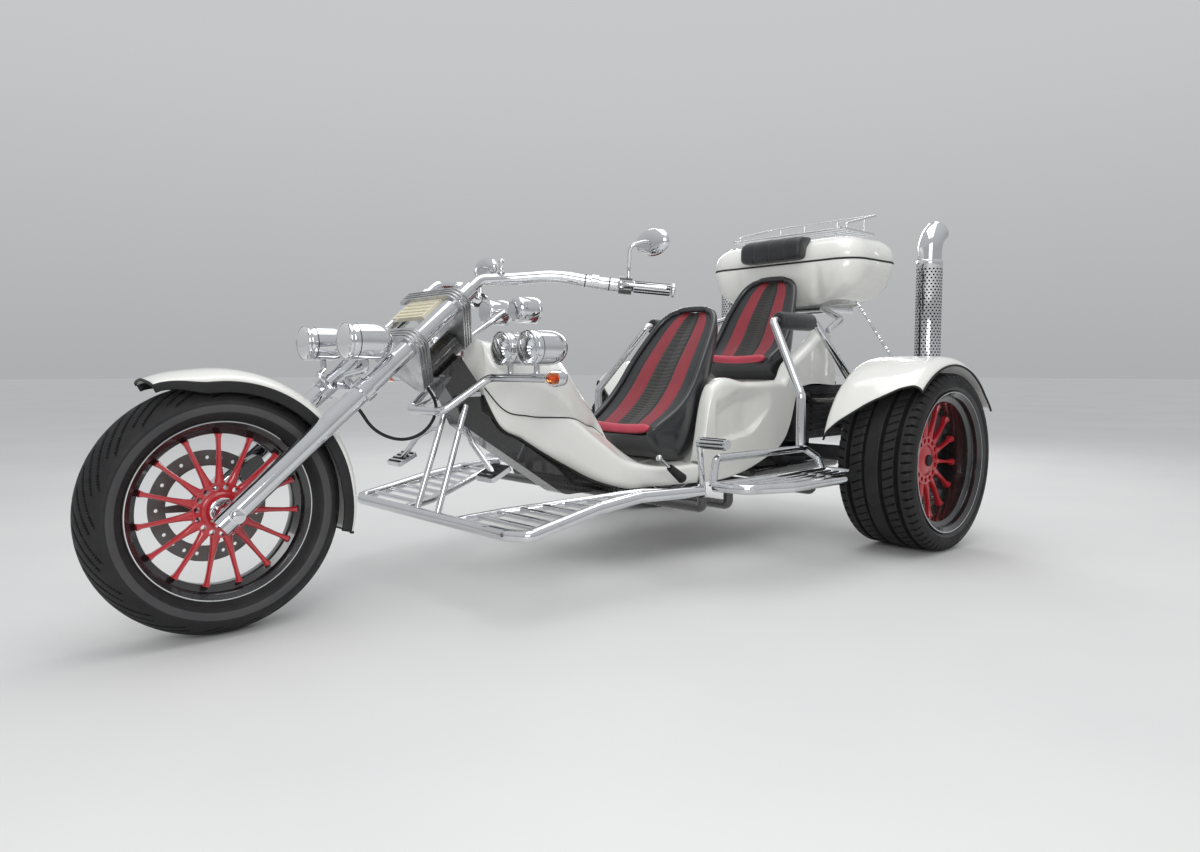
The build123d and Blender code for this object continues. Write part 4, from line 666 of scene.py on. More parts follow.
def lamp_set(name, faces, radius, length, body, node, facing=1, slot="chrome", glazing=(clear_glass, reflector)):
    """Lamps that face forward (1) or to the rear (-1). Marks: 0 housing, 1 glass, 2 reflector and bulb, 3 painted shade
    in the groove behind the ring.
    """
    back = Vector((-facing, 0, 0))
    deep, bulb = min(0.042, length * 0.55), radius * 0.18
    housing = [(0.004, radius - 0.002), (0.0, radius - 0.0035), (-0.002, radius - 0.001), (0.0, radius),
               (0.006, radius), (0.0075, radius - 0.0012), (0.009, radius), (0.024, radius), (0.0245, radius - 0.0012),
               (0.0265, radius - 0.0012), (0.027, radius), (length * 0.55, radius)]
    housing += [(length * (0.55 + 0.45 * sin(t)), radius * (0.12 + 0.88 * cos(t) ** 0.72))
                for t in np.linspace(0.12, pi / 2 - 0.001, 12)] + [(length, 0)]
    lens = [(0.0015 - 0.007 * cos(t), (radius - 0.003) * sin(t)) for t in np.linspace(0.0, pi / 2, 8)]
    bowl = [(0.004 + deep * cos(t) ** 1.4, (radius - 0.004) * sin(t)) for t in np.linspace(pi / 2, 0.16, 12)]
    shape = Shape()
    for face in faces:
        shape.revolve(housing, face, back, 56)
        # Black band over the groove behind the ring: painted shade
        shape.revolve([(0.0244, radius - 0.0004), (0.0266, radius - 0.0004)], face, back, 56, mark=3)
        shape.revolve(lens + [(along + 0.003, r) for along, r in lens[::-1]], face, back, 56, mark=1)
        flutes = []
        for turn in circle(96):
            outward = Vector((0, cos(turn), sin(turn))) * (1 - 0.03 * (0.5 + 0.5 * cos(16 * turn)))
            flutes.append([face + back * along + outward * r for along, r in bowl])
        shape.skin(flutes, closed=False, loop=True, mark=2)
        shape.revolve([(deep * 0.4, 0), (deep * 0.44, bulb * 0.75), (deep * 0.58, bulb), (deep, bulb), (deep, 0)],
                      face, back, 24, mark=2)
    shape.make(name, [bright, *glazing, black_paint], slot, body, node, 50)


lamp_radius = 0.052
lamp_length = 0.135
lamp_set("fork_lamps_dressed", [at(0.300, side * 0.136, 0.770) for side in (1, -1)], lamp_radius, lamp_length,
         "steering", "front_lamps")
lamp_set("side_lamps_dressed", [at(0.762, side * place, 0.755) for side in (1, -1) for place in (0.212, 0.342)],
         lamp_radius, lamp_length, "root", "side_lamps")


# Seats: smooth buckets and crowned pads from the same sections as the solids
# Columns: bottom station and z, rim station and z, rim half width, bottom half width, from the lip and the floor
seat_sections = np.array((
    (2, 92, 0, 108, 172, 140),
    (60, 26, 38, 136, 194, 146),
    (180, 0, 135, 200, 208, 157),
    (265, 92, 210, 278, 206, 155),
    (335, 262, 285, 388, 192, 142),
    (422, 452, 380, 515, 160, 118),
    (452, 530, 420, 566, 124, 88),
    (464, 566, 438, 586, 78, 52),
)) / 1000
# Columns: name, lip station, floor z, length share, height share, width share
seat_table = (
    ("driver", 1.440, 0.3508, 1.0, 0.99, 1.0),
    ("passenger", 2.152, 0.6403, 0.59, 0.765, 0.93),
)
seat_wall = 0.008
pad_gap = seat_wall + 0.0015


def smooth_rows(table, count):
    """Rows between a table's rows on a curve through them all, evenly spread by row number."""
    rows = len(table)
    places = np.linspace(0, rows - 1, count)
    result = []
    for place in places:
        index = min(int(place), rows - 2)
        t = place - index
        p1, p2 = table[index], table[index + 1]
        p0 = table[index - 1] if index > 0 else 2 * p1 - p2
        p3 = table[index + 2] if index + 2 < rows else 2 * p2 - p1
        result.append(0.5 * (2 * p1 + (p2 - p0) * t + (2 * p0 - 5 * p1 + 4 * p2 - p3) * t**2
                             + (3 * p1 - p0 - 3 * p2 + p3) * t**3))
    return result


def seat_frame(row, place):
    """Bottom point, direction to the rim, depth and half widths of one seat section."""
    low_s, low_z, rim_s, rim_z, rim_half, low_half = row
    _, lip, floor, length, height, width = place
    low = at(lip + low_s * length, 0, floor + low_z * height)
    top = at(lip + rim_s * length, 0, floor + rim_z * height)
    depth = (top - low).length
    return low, (top - low).normalized(), depth, rim_half * width, low_half * width


def side_curve(depth, rim_half, low_half, turn):
    """Point on a bucket's side, from its floor at 0 to its rim at a quarter turn."""
    return low_half + (rim_half - low_half) * sin(turn) ** 0.8, depth * (1 - cos(turn))


def bucket_ring(row, place):
    """Open bucket section: outside from rim to rim, then back along the inside."""
    low, up, depth, rim_half, low_half = seat_frame(row, place)
    outer = [side_curve(depth, rim_half, low_half, t) for t in np.linspace(0, pi / 2, 7)]
    inner = [(max(x - seat_wall, 0.004), max(z, 0) + seat_wall * (1 - z / depth)) for x, z in outer]
    inner[-1] = (rim_half - seat_wall, depth)
    rim_top = [(rim_half - seat_wall * share, depth + 0.002) for share in (0.25, 0.75)]
    half = outer + rim_top + inner[::-1]
    return [low + side_axis * x + up * z for x, z in half + mirrored(half)]


def seat_shell(place):
    shape = Shape()
    shape.skin([bucket_ring(row, place) for row in smooth_rows(seat_sections, 33)], caps=(True, True))
    shape.make(f"{place[0]}_seat_bucket", [bucket_vinyl], "seat_shell", replaces=f"{place[0]}_seat_shell", sharp=50)


def seat_bolster(place):
    """Rolled edge round the bucket's rim and a red roll across the pad's front."""
    frames = [seat_frame(row, place) for row in smooth_rows(seat_sections, 61)]
    edge = [low + up * (depth - 0.001) + side_axis * (half - 0.007) for low, up, depth, half, _ in frames]
    low, up, depth, half, _ = frames[-1]
    across_top = [low + up * (depth + 0.007 * cos(t)) + side_axis * ((half - 0.007) * sin(t))
                  for t in np.linspace(pi / 2, -pi / 2, 15)][1:-1]
    loop = edge + across_top + flip(edge)[::-1]
    shape = Shape()
    shape.pipe(loop, [0.0125 * min(1, 0.45 + 0.11 * min(k, len(loop) - 1 - k)) for k in range(len(loop))], 14)
    low, up, depth, half, _ = seat_frame(smooth_rows(seat_sections[:2], 5)[2], place)
    shares = np.linspace(1, -1, 41)
    roll = [low + up * (depth - 0.004 + 0.010 * t * t) + side_axis * (half * 0.88 * t) for t in shares]
    shape.pipe(roll, [0.0165 * (1 - abs(t) ** 8) ** 0.5 + 0.002 for t in shares], 16, mark=1)
    shape.make(f"{place[0]}_seat_rolls", [bucket_vinyl, edge_leather], "seat_cover", fill=0.9)


# Stripes across a seat pad, as shares of its half width: centre cloth, red, black, with a seam at each border
stripe_borders = (0.30, 0.66)
seam_depth = 0.004
rib_count = 46
rib_depth = 0.0011
pad_rows = 185
pad_columns = 61


def pad_surface(rows, place, shares):
    """Crowned top of a pad as rows of points at shares of its half width."""
    surface = []
    for number, row in enumerate(rows):
        low, up, depth, rim_half, _ = seat_frame(row, place)
        along = number / (len(rows) - 1)
        line = []
        for share in shares:
            lift = depth - 0.022 * (1 - abs(share)) - 0.004 + 0.0096 * (1 - share**2)
            lift -= sum(seam_depth * max(0, 1 - abs(abs(share) - border) / 0.035) for border in stripe_borders)
            if abs(share) < stripe_borders[0] - 0.02 and 0.05 < along < 0.98:
                lift += rib_depth * cos(along * rib_count * 2 * pi)
            lift -= 0.012 * (max(0, abs(share) - 0.86) / 0.14) ** 2
            line.append(low + side_axis * ((rim_half - pad_gap) * share) + up * lift)
        surface.append(line)
    return surface


def seat_pad(place):
    """Pad with striped panels, sunk seams and a closed back."""
    rows = smooth_rows(seat_sections[1:], pad_rows)
    shares = np.linspace(-1, 1, pad_columns)
    columns, last = len(shares), len(rows) - 1
    shape = Shape()
    faces, marks = [], []
    for row in range(last):
        for column in range(columns - 1):
            base = row * columns + column
            middle = abs(shares[column] + shares[column + 1]) / 2
            faces.append((base, base + 1, base + columns + 1, base + columns))
            marks.append(sum(int(middle >= border) for border in stripe_borders))
    shape.add([point for line in pad_surface(rows, place, shares) for point in line], faces)
    shape.marks = marks
    back = []
    for row in rows:
        low, up, depth, rim_half, low_half = seat_frame(row, place)
        curve = [side_curve(depth, rim_half, low_half, t) for t in np.linspace(pi / 2, 0, 6)]
        side_points = [(x - pad_gap, max(z, seat_wall + 0.002)) for x, z in curve]
        side_points[0] = (rim_half - pad_gap, depth - 0.018)
        half = [(-x, z) for x, z in side_points] + side_points[::-1]
        back.append([low + side_axis * x + up * z for x, z in half])
    start, width = len(shape.vertices), len(back[0])
    shape.skin(back, closed=False, mark=2)
    closing = []
    for row in range(last):
        a, b, c, d = row * columns, (row + 1) * columns, start + row * width, start + (row + 1) * width
        closing += [(a, b, d, c), (b + columns - 1, a + columns - 1, c + width - 1, d + width - 1)]
    first_end, last_end = [[row * columns + i for i in range(columns)]
                           + [start + (row + 1) * width - 1 - i for i in range(width)] for row in (0, last)]
    closing += [tuple(first_end), tuple(last_end[::-1])]
    shape.faces += closing
    shape.marks += [2] * len(closing)
    shape.make(f"{place[0]}_seat_cushion", [centre_cloth, red_leather, black_leather], "seat_cover",
               replaces=f"{place[0]}_seat_pad", fill=0.8)


for seat_place in seat_table:
    seat_shell(seat_place)
    seat_bolster(seat_place)
    seat_pad(seat_place)


# Nose cowl: a tank over a fairing that flares round the seat's front
# Columns: station, top z, then side and z of the shoulder, flank, lip, ledge and skirt, in millimetres
cowl_sections = (
    (808, 789, 50, 775, 66, 700, 56, 634, 53, 628, 50.5, 606),
    (860, 781, 70, 764, 112, 668, 72, 570, 62, 562, 50.5, 518),
    (960, 764, 88, 738, 150, 636, 90, 538, 79, 530, 51.5, 458),
    (1060, 743, 90, 700, 128, 582, 98, 530, 90, 520, 60, 398),
    (1137, 725, 75, 672, 108, 534, 101, 524, 116, 504, 76, 354),
    (1229, 625, 52, 590, 76, 504, 72, 494, 170, 425, 122, 300),
    (1314, 525, 32, 508, 44, 474, 40, 467, 200, 362, 182, 272),
    (1380, 388, 32, 386, 60, 384, 110, 378, 216, 350, 205, 272),
    (1450, 350, 32, 350, 70, 349, 130, 348, 230, 342, 218, 272),
    (1619.7, 350, 32, 350, 70, 349, 130, 348, 264, 342, 252, 272),
)
cowl_table = np.array(cowl_sections) / 1000
cowl_step_count = 90


def cowl_rows():
    """Key points of the cowl at evenly spaced stations, each on a smooth curve along the body."""
    stations = np.linspace(cowl_table[0, 0], cowl_table[-1, 0], cowl_step_count)
    columns = [curve_through(cowl_table[:, (0, column)], stations) for column in range(1, cowl_table.shape[1])]
    return stations, np.array(columns).T


def cowl_ring(station, row):
    """Half section from the skirt up to the top, with soft corners and slightly full panels."""
    top, sides = row[0], row[1:]
    shoulder, flank, lip, ledge, skirt = [(sides[k], sides[k + 1]) for k in range(0, 10, 2)]
    full_skirt = ((skirt[0] + ledge[0]) / 2 + 0.006, (skirt[1] + ledge[1]) / 2)
    full_side = ((shoulder[0] + flank[0]) / 2 + 0.008, (shoulder[1] + flank[1]) / 2 + 0.004)
    corners = [skirt, full_skirt, ledge, lip, flank, full_side, shoulder, (shoulder[0] * 0.45, top), (0, top)]
    half = flat_path(corners, [0.03, 0.022, 0.0015, 0.014, 0.03, 0.034, 0.02], 6)
    return [at(station, y, z) for y, z in half + mirrored(half[:-1])]


cowl_stations, cowl_keys = cowl_rows()
cowl_rings = [cowl_ring(station, row) for station, row in zip(cowl_stations, cowl_keys)]
nose_middle = sum(cowl_rings[0], Vector()) / len(cowl_rings[0])
nose_face = [point + (nose_middle - point).normalized() * 0.005 for point in cowl_rings[0]]
cowl_rings[0] = [point - Vector((0.004, 0, 0)) for point in cowl_rings[0]]
cowl = Shape()
cowl.skin([nose_face] + cowl_rings, closed=False, caps=(True, False))
cowl.make_shell("cowl_dressed", "nose_cowl", sharp=40)

# Rubber seam under the tank and a rubber strip where the skirt meets the spine
cowl_trim = Shape()
for side in (1, -1):
    for column, outset, drop, end, radius in ((5, 0.0006, 0.001, 1.330, 0.0022), (9, -0.001, 0.002, 1.300, 0.0045)):
        line = [at(s, side * (row[column] + outset), row[column + 1] - drop)
                for s, row in zip(cowl_stations, cowl_keys)]
        cowl_trim.pipe(line[:np.searchsorted(cowl_stations, end)], radius, 8)
cowl_trim.make("cowl_trim", [soft_rubber], "grip_rubber")


# Rear tub: side walls with a scoop, a deck and recesses for both seats
tub_half = 0.268
# Station and height of the points along the top, the lower edge and the floor under the driver's seat
tub_top = ((1.620, 0.350), (1.640, 0.440), (1.665, 0.560), (1.690, 0.622), (1.715, 0.641), (1.900, 0.643),
           (2.100, 0.647), (2.155, 0.652), (2.185, 0.706), (2.240, 0.742), (2.355, 0.816), (2.440, 0.862),
           (2.470, 0.862), (2.500, 0.800), (2.513, 0.753))
tub_low = ((1.620, 0.2725), (1.700, 0.2725), (1.900, 0.300), (2.012, 0.336), (2.100, 0.372), (2.160, 0.430),
           (2.190, 0.490), (2.215, 0.566), (2.240, 0.612), (2.280, 0.622), (2.513, 0.622))
driver_floor = ((1.620, 0.2725), (1.650, 0.325), (1.726, 0.425), (1.796, 0.595), (1.815, 0.641))
scoop_depth = 0.030


def tub_scoop(station, height):
    """Depth of the side scoop: crisp at its front and lower lip, fading at its top and rear."""
    lower = 0.411 + (station - 1.718) * 0.136 + 0.10 * ease(station, 1.90, 2.10)
    upper = 0.580 + 0.047 * ease(station, 1.71, 1.86)
    along = ease(station, 1.702, 1.722) * (1 - ease(station, 1.90, 2.06))
    return float(scoop_depth * along * ease(height, lower, lower + 0.012) * (1 - ease(height, upper - 0.07, upper)))


def tub_ring(station):
    """Half section from the lower edge up the side, over the rim and down into the recess."""
    top = float(curve_through(tub_top, station))
    low = min(float(curve_through(tub_low, station)), top - 0.002)
    if station < 1.815:
        floor, recess = float(np.interp(station, *zip(*driver_floor))), 0.214
    elif station < 2.150:
        floor, recess = top, 0.214 - 0.010 * float(ease(station, 1.9, 2.15))
    else:
        floor, recess = min(top, 0.640), 0.204
    edge = min(0.026, (top - low) * 0.45)
    lip = min(0.012, (top - floor) * 0.45)
    half = [(tub_half - tub_scoop(station, z), z) for z in np.linspace(low, top - edge, 56)]
    half += [(tub_half - edge * (1 - cos(t)), top - edge * (1 - sin(t))) for t in np.linspace(0.3, pi / 2, 5)]
    half += [(recess + lip * (1 - sin(t)), top - lip * (1 - cos(t))) for t in np.linspace(0, pi / 2, 4)]
    half += [(recess, min(floor + 0.002, top)), (recess - 0.004, floor), (recess * 0.5, floor), (0, floor)]
    return [at(station, y, z) for y, z in half + mirrored(half[:-1])]


tub_stations = np.unique(np.concatenate([
    np.linspace(1.620, 1.700, 18), np.linspace(1.700, 1.725, 12), np.linspace(1.725, 1.812, 14),
    [1.8148, 1.8152], np.linspace(1.82, 2.149, 48), [2.1505], np.linspace(2.155, 2.200, 14),
    np.linspace(2.21, 2.44, 28), np.linspace(2.45, 2.513, 14),
]))
tub = Shape()
tub_rings = [tub_ring(station) for station in tub_stations]
back_ring = [Vector((point.x - 0.0005, point.y, 0.622)) for point in tub_rings[-1]]
tub.skin(tub_rings + [back_ring], closed=False)
tub.make_shell("tub_dressed", "rear_tub", sharp=38)


# Front fender: a lifted nose, deep skirts and a rubber bead round the edge
front_fender_rows = 70


def front_fender_ring(place):
    """Panel and rubber guard sections at a share of the way from the nose to the tail."""
    outward, _ = wheel_axes(radians(63.5 + 132.5 * place))
    nose = 1 - float(ease(place, 0, 0.16))
    tail = float(ease(place, 0.80, 1.0))
    half = 0.093 - 0.022 * nose**2 - 0.008 * tail
    crown = 0.368 + 0.011 * nose
    edge = 0.306 + 0.038 * nose + 0.010 * tail
    skirt = 0.026 - 0.008 * nose
    shoulder = crown - min(0.024, (crown - edge - skirt) * 0.6)
    line = flat_path([(half, edge + skirt), (half, shoulder), (half * 0.62, crown - 0.004), (0, crown + 0.001)],
                     [0.018, 0.045], 7)
    guard = [(half * 0.975, edge), (half + 0.0010, edge + 0.003), (half + 0.0022, edge + skirt - 0.001),
             (half + 0.0022, edge + skirt + 0.003), (half - 0.002, edge + skirt + 0.004), (half - 0.004, edge + 0.002)]
    return [[front_centre + outward * r + side_axis * y for y, r in section]
            for section in (line + mirrored(line[:-1]), guard, [(-y, r) for y, r in guard])]


fender_lines, *fender_guards = zip(*(front_fender_ring(place) for place in np.linspace(0, 1, front_fender_rows)))
fender = Shape()
fender.skin(fender_lines, closed=False)
fender.make_shell("front_fender_dressed", "front_fender", "steering", wall=0.003)
fender_bead = Shape()
for guard in fender_guards:
    fender_bead.skin(guard, caps=(True, True))
for line in (fender_lines[0], fender_lines[-1]):
    fender_bead.pipe(line, radius=0.0036, sides=8)
fender_bead.make("front_fender_skirt", [soft_rubber], "grip_rubber", "steering")


# Rear fenders: a rolled outer edge, a slanted front and black rubber round both
rear_fender_rows = 56
rear_fender_profile = ((0.545, 0.391), (0.558, 0.398), (0.600, 0.402), (0.700, 0.4035), (0.800, 0.401),
                       (0.838, 0.394), (0.856, 0.380), (0.862, 0.366))
wheelbase = front_centre.x - rear_centres["left"].x


def rear_fender_line(side, across, radius):
    """Run from the front edge to the tail at one place across the fender."""
    front_station = 1.994 + 0.131 * ((across - 0.545) / 0.317) ** 1.4
    first = float(np.arccos(min((wheelbase - front_station) / radius, 1)))
    centre = at(wheelbase, side * across, rear_centres["left"].z)
    shares = np.linspace(0, 1, rear_fender_rows)
    turns = first + (radians(151) - first) * shares
    return [centre + wheel_axes(turn)[0] * (radius + 0.012 * float(ease(share, 0.86, 1.0)))
            for turn, share in zip(turns, shares)]


rear_shells, rear_beads = Shape(), Shape()
for side in (1, -1):
    lines = [rear_fender_line(side, across, radius) for across, radius in flat_path(rear_fender_profile, 0.012, 4)]
    rear_shells.skin(lines if side < 0 else lines[::-1], closed=False)
    for line in (lines[-1], [line[0] for line in lines]):
        rear_beads.pipe(line, radius=0.0042, sides=8)
rear_shells.make("rear_fenders_dressed", [white_paint], "white_shell", replaces="rear_fenders", wall=0.004)
rear_beads.make("rear_fender_beads", [soft_rubber], "grip_rubber")


# Trunk: rounded tub and lid with a rubber seam between them. Its rings have the same count of points on each run
trunk_fill_counts = (20, 90, 20, 30)
trunk_front, trunk_rear = 2.430, 2.830


def trunk_ring(front_in, rear_in, half, height, corner):
    """Rounded rectangle in a level plane, with a valley beside each pod on the lower front."""
    front, rear = trunk_front + front_in, trunk_rear - rear_in
    centres = ((rear - corner, half - corner), (front + corner, half - corner),
               (front + corner, corner - half), (rear - corner, corner - half))
    ring = []
    for index, fill in enumerate(trunk_fill_counts):
        turns = np.radians(np.linspace(index * 90, index * 90 + 90, 10))
        spread = corner * np.stack([np.cos(turns), np.sin(turns)], axis=1)
        ring += list(np.array(centres[index]) + spread)
        next_point = np.array(centres[(index + 1) % 4]) + spread[-1]
        ring += [ring[-1] + (next_point - ring[-1]) * share for share in np.arange(1, fill) / fill]
    stations, sides = np.array(ring).T
    reach = np.abs(sides)
    under = (1 - float(ease(height, 1.09, 1.155))) * (1 - ease(stations, 2.44, 2.56))
    stations += 0.012 * under * np.exp(-(((reach - 0.212) / 0.020) ** 2))
    stations -= 0.003 * under * np.exp(-(((reach - 0.300) / 0.060) ** 2))
    lift = 0.020 * (1 - float(ease(height, 0.98, 1.08))) * ease(reach, 0.19, 0.26)
    return [at(station, y, height + rise) for station, y, rise in zip(stations, sides, lift)]


trunk_tub_rings = [trunk_ring(*row) for row in (
    (0.060, 0.066, 0.262, 0.9755, 0.050), (0.046, 0.052, 0.284, 0.977, 0.060), (0.034, 0.038, 0.306, 0.988, 0.068),
    (0.022, 0.026, 0.340, 1.015, 0.080), (0.011, 0.013, 0.369, 1.055, 0.090), (0.004, 0.005, 0.390, 1.105, 0.097),
    (0.0005, 0.0005, 0.3995, 1.150, 0.100), (0.003, 0.003, 0.397, 1.157, 0.098), (0.006, 0.006, 0.394, 1.157, 0.095),
)]
lid_rings = [trunk_ring(*row) for row in (
    (0.006, 0.006, 0.394, 1.1645, 0.095), (0.003, 0.003, 0.397, 1.1645, 0.098), (0.0005, 0.0005, 0.3995, 1.171, 0.100),
    (0.003, 0.004, 0.397, 1.196, 0.099), (0.011, 0.013, 0.389, 1.222, 0.095), (0.028, 0.030, 0.370, 1.243, 0.086),
    (0.046, 0.050, 0.350, 1.256, 0.076), (0.062, 0.068, 0.330, 1.2612, 0.066), (0.090, 0.096, 0.300, 1.2618, 0.050),
)]
trunk = Shape()
trunk.skin(trunk_tub_rings, caps=(True, False))
trunk.make_shell("trunk_tub_dressed", "trunk_tub", sharp=40)
lid = Shape()
lid.skin(lid_rings, caps=(False, True))
lid.make_shell("trunk_lid_dressed", "trunk_lid", "trunk_top", 40)
seam_ring = trunk_ring(0.0035, 0.0035, 0.3965, 1.1608, 0.0965)
trunk_seam = Shape()
trunk_seam.pipe(seam_ring + seam_ring[:2], 0.0042, 8, caps=(False, False))
trunk_seam.make("trunk_seam_rubber", [soft_rubber], "grip_rubber")


# Backrest: a padded roll over the lid's front edge, drawn in at three seams
backrest_outline = ((2.429, 1.168), (2.373, 1.169), (2.373, 1.246), (2.404, 1.2745), (2.483, 1.2755),
                    (2.483, 1.2645), (2.440, 1.224))
backrest_half = 0.160
backrest_cuts = (0.006, 0.024, 0.026, 0.030, 0.005, 0.005, 0.02)


def backrest():
    """Crowned pad with rounded ends."""
    closing = [(a + b) / 2 for a, b in zip(backrest_outline[-1], backrest_outline[0])]
    section = np.array(flat_path([closing, *backrest_outline, closing], backrest_cuts, 7)[:-1])
    middle = section.mean(axis=0)
    shape = Shape()
    rings = []
    for along in np.linspace(-1, 1, 97):
        taper = 0.72 + 0.28 * (1 - abs(along) ** 9) ** 0.5
        seam = sum(max(0, 1 - abs(along - place) / 0.035) for place in (-0.5, 0.0, 0.5))
        points = middle + (section - middle) * (taper * (1 - 0.05 * seam))
        rings.append([at(station, along * backrest_half, z) for station, z in points])
    shape.skin(rings, caps=(True, True))
    shape.make("backrest_cushion", [black_leather], "seat_cover", "trunk_top", "backrest_pad", 70, fill=0.7)


backrest()


# Armrest rollers, grips and levers
armrest_rollers = Shape()
for side in (1, -1):
    armrest_rollers.roller(*route(side, (1.985, 0.340, 0.880), (2.205, 0.340, 0.880)), radius=0.035)
armrest_rollers.make("armrest_rollers", [black_leather], "grip_rubber", replaces="armrest_pads", fill=0.9)

switch_inner = at(1.090, 0.384, 0.953)
grip_direction = Vector((-92, 84, -12)).normalized()
switch_length = 0.040
grip_length = 0.125
hand_grips, levers = Shape(), Shape()
for side in (1, -1):
    inner, run = (switch_inner, grip_direction) if side > 0 else flip([switch_inner, grip_direction])
    start, end = inner + run * switch_length, inner + run * (switch_length + grip_length)
    hand_grips.roller(start, end, radius=0.0168)
    hand_grips.revolve([(0, 0.010), (0, 0.0200), (0.003, 0.0215), (0.008, 0.0205), (0.010, 0.014), (0.010, 0)],
                       end, run, 36)
    across, up = cross_axes(run)
    for turn in circle(10):
        offset = (across * cos(turn) + up * sin(turn)) * 0.0150
        hand_grips.pipe([start + run * 0.008 + offset, end - run * 0.006 + offset], 0.0034, 10, mark=1)
    ahead = Vector((0.55, side * 0.42, 0)).normalized()
    pivot = inner + run * 0.012 + ahead * 0.030
    lever_path = round_path([pivot, pivot + ahead * 0.030 + run * 0.018, pivot + ahead * 0.034 + run * 0.085,
                             pivot + ahead * 0.030 + run * 0.142], 0.02)
    levers.pipe(lever_path, [0.0075 - 0.0025 * sin(t) for t in np.linspace(0, pi, len(lever_path))], 12)
    levers.revolve([(-0.010, 0), (-0.010, 0.011), (0.010, 0.011), (0.010, 0)], pivot, (0, 0, 1), 20)
hand_grips.make("hand_grips", [bright, soft_rubber], "grip_rubber", "steering", "grips", 45)
levers.make("hand_levers", [bright], "chrome", "steering", sharp=40)


# Mirrors: a teardrop head with its glass to the rear, on a curved stem
mirror_shape = Shape()
for side in (1, -1):
    stem = route(side, (1.112, 0.405, 0.977), (1.112, 0.405, 1.010), (1.098, 0.425, 1.070), (1.134, 0.448, 1.085),
                 (1.158, 0.454, 1.085))
    mirror_shape.pipe(round_path(stem, 0.016), 0.006, 14)
    head = at(1.150, side * 0.452, 1.085)
    rings = [[head + Vector((-depth, 0.068 * share * cos(t), 0.042 * share * sin(t))) for t in circle(48)]
             for depth, share in ((0.0, 0.30), (0.001, 0.55), (0.004, 0.78), (0.010, 0.93), (0.018, 1.0),
                                  (0.0235, 1.0), (0.0255, 0.975), (0.0255, 0.94))]
    mirror_shape.skin(rings, caps=(True, False))
    pane = [head + Vector((-0.0245, 0.064 * cos(t), 0.0395 * sin(t))) for t in circle(48)]
    mirror_shape.add(pane, [tuple(range(48))], 1)
mirror_shape.make("mirrors_dressed", [bright, reflector], "chrome", "steering", "mirrors", 45)


# Gauges: two bright cups with plain dials facing the rider
gauge_shape = Shape()


def dial_mark(front, turn, reach, depth, size, mark):
    """Raised bar on a dial at an angle from its side, along its radius."""
    outward = Vector((0, -cos(turn), sin(turn)))
    turn_matrix = Matrix((outward, Vector((0, -outward.z, outward.y)), Vector((1, 0, 0)))).transposed()
    gauge_shape.block(front + Vector((-depth, 0, 0)) + outward * reach, size, turn_matrix, mark=mark)


for side in (1, -1):
    front = at(0.906, side * 0.084, 0.885)
    cup = [(0, 0), (0.0, 0.030), (0.0015, 0.036), (0.005, 0.0405), (0.011, 0.0435), (0.018, 0.044), (0.022, 0.044),
           (0.023, 0.0428), (0.025, 0.0428), (0.026, 0.044), (0.074, 0.044),
           (0.076, 0.0425), (0.078, 0.044), (0.084, 0.044), (0.084, 0.039), (0.079, 0.038)]
    gauge_shape.revolve(cup, front, (-1, 0, 0), 56)
    gauge_shape.revolve([(0.078, 0.0385), (0.0785, 0)], front, (-1, 0, 0), 56, mark=1)
    for tick in range(11):
        dial_mark(front, radians(225 - tick * 27), 0.031, 0.0792, (0.006, 0.0012, 0.0004), 2)
    dial_mark(front, radians(200), 0.011, 0.0796, (0.030, 0.0014, 0.0006), 3)
    gauge_shape.revolve([(0.0785, 0.004), (0.081, 0.004), (0.081, 0)], front, (-1, 0, 0), 16, mark=1)
gauge_stand = [on_fork(0.8903, -0.030, 0), on_fork(0.916, -0.030, 0), at(0.936, 0, 0.885)]
gauge_shape.pipe(round_path(gauge_stand, 0.012), 0.009, 16)
gauge_shape.pipe([at(0.936, -0.084, 0.885), at(0.936, 0.084, 0.885)], 0.009, 16)
gauge_shape.make("gauges_dressed", [bright, dial_black, dial_white, red_paint], "chrome", "steering", "gauges", 40)


# Turn signals and tail lamps
signals = Shape()
dome = [(0.030 - 0.030 * cos(t), 0.0232 * sin(t) ** 0.8) for t in np.linspace(0.001, pi / 2, 12)]
dome += [(0.033, 0.0232), (0.033, 0.019), (0.030, 0.019)]
dome += [(0.030 - 0.026 * cos(t), 0.019 * sin(t)) for t in np.linspace(pi / 2, 0.001, 8)]
cup = [(0.031, 0.0), (0.031, 0.017), (0.0295, 0.0215), (0.0295, 0.024), (0.033, 0.0245), (0.050, 0.0235)]
cup += [(0.050 + 0.024 * sin(t), 0.0235 * cos(t)) for t in np.linspace(0.1, pi / 2, 9)]
bulb = [(0.012, 0), (0.014, 0.005), (0.020, 0.006), (0.031, 0.006)]
for side in (1, -1):
    for profile, count, mark in ((dome, 40, 1), (cup, 40, 0), (bulb, 20, 2)):
        signals.revolve(profile, at(0.734, side * 0.4643, 0.667), (-1, 0, 0), count, mark=mark)
signals.make("turn_signals_dressed", [bright, amber_glass, amber_paint], "chrome", "root", "turn_signals", 50)
lamp_set("tail_lamps_dressed", [at(2.907, side * place, 0.5243) for side in (1, -1) for place in (0.190, 0.275)],
         0.038, 0.052, "root", "tail_lamps", facing=-1, slot="tail_lens", glazing=(red_glass, tail_red))
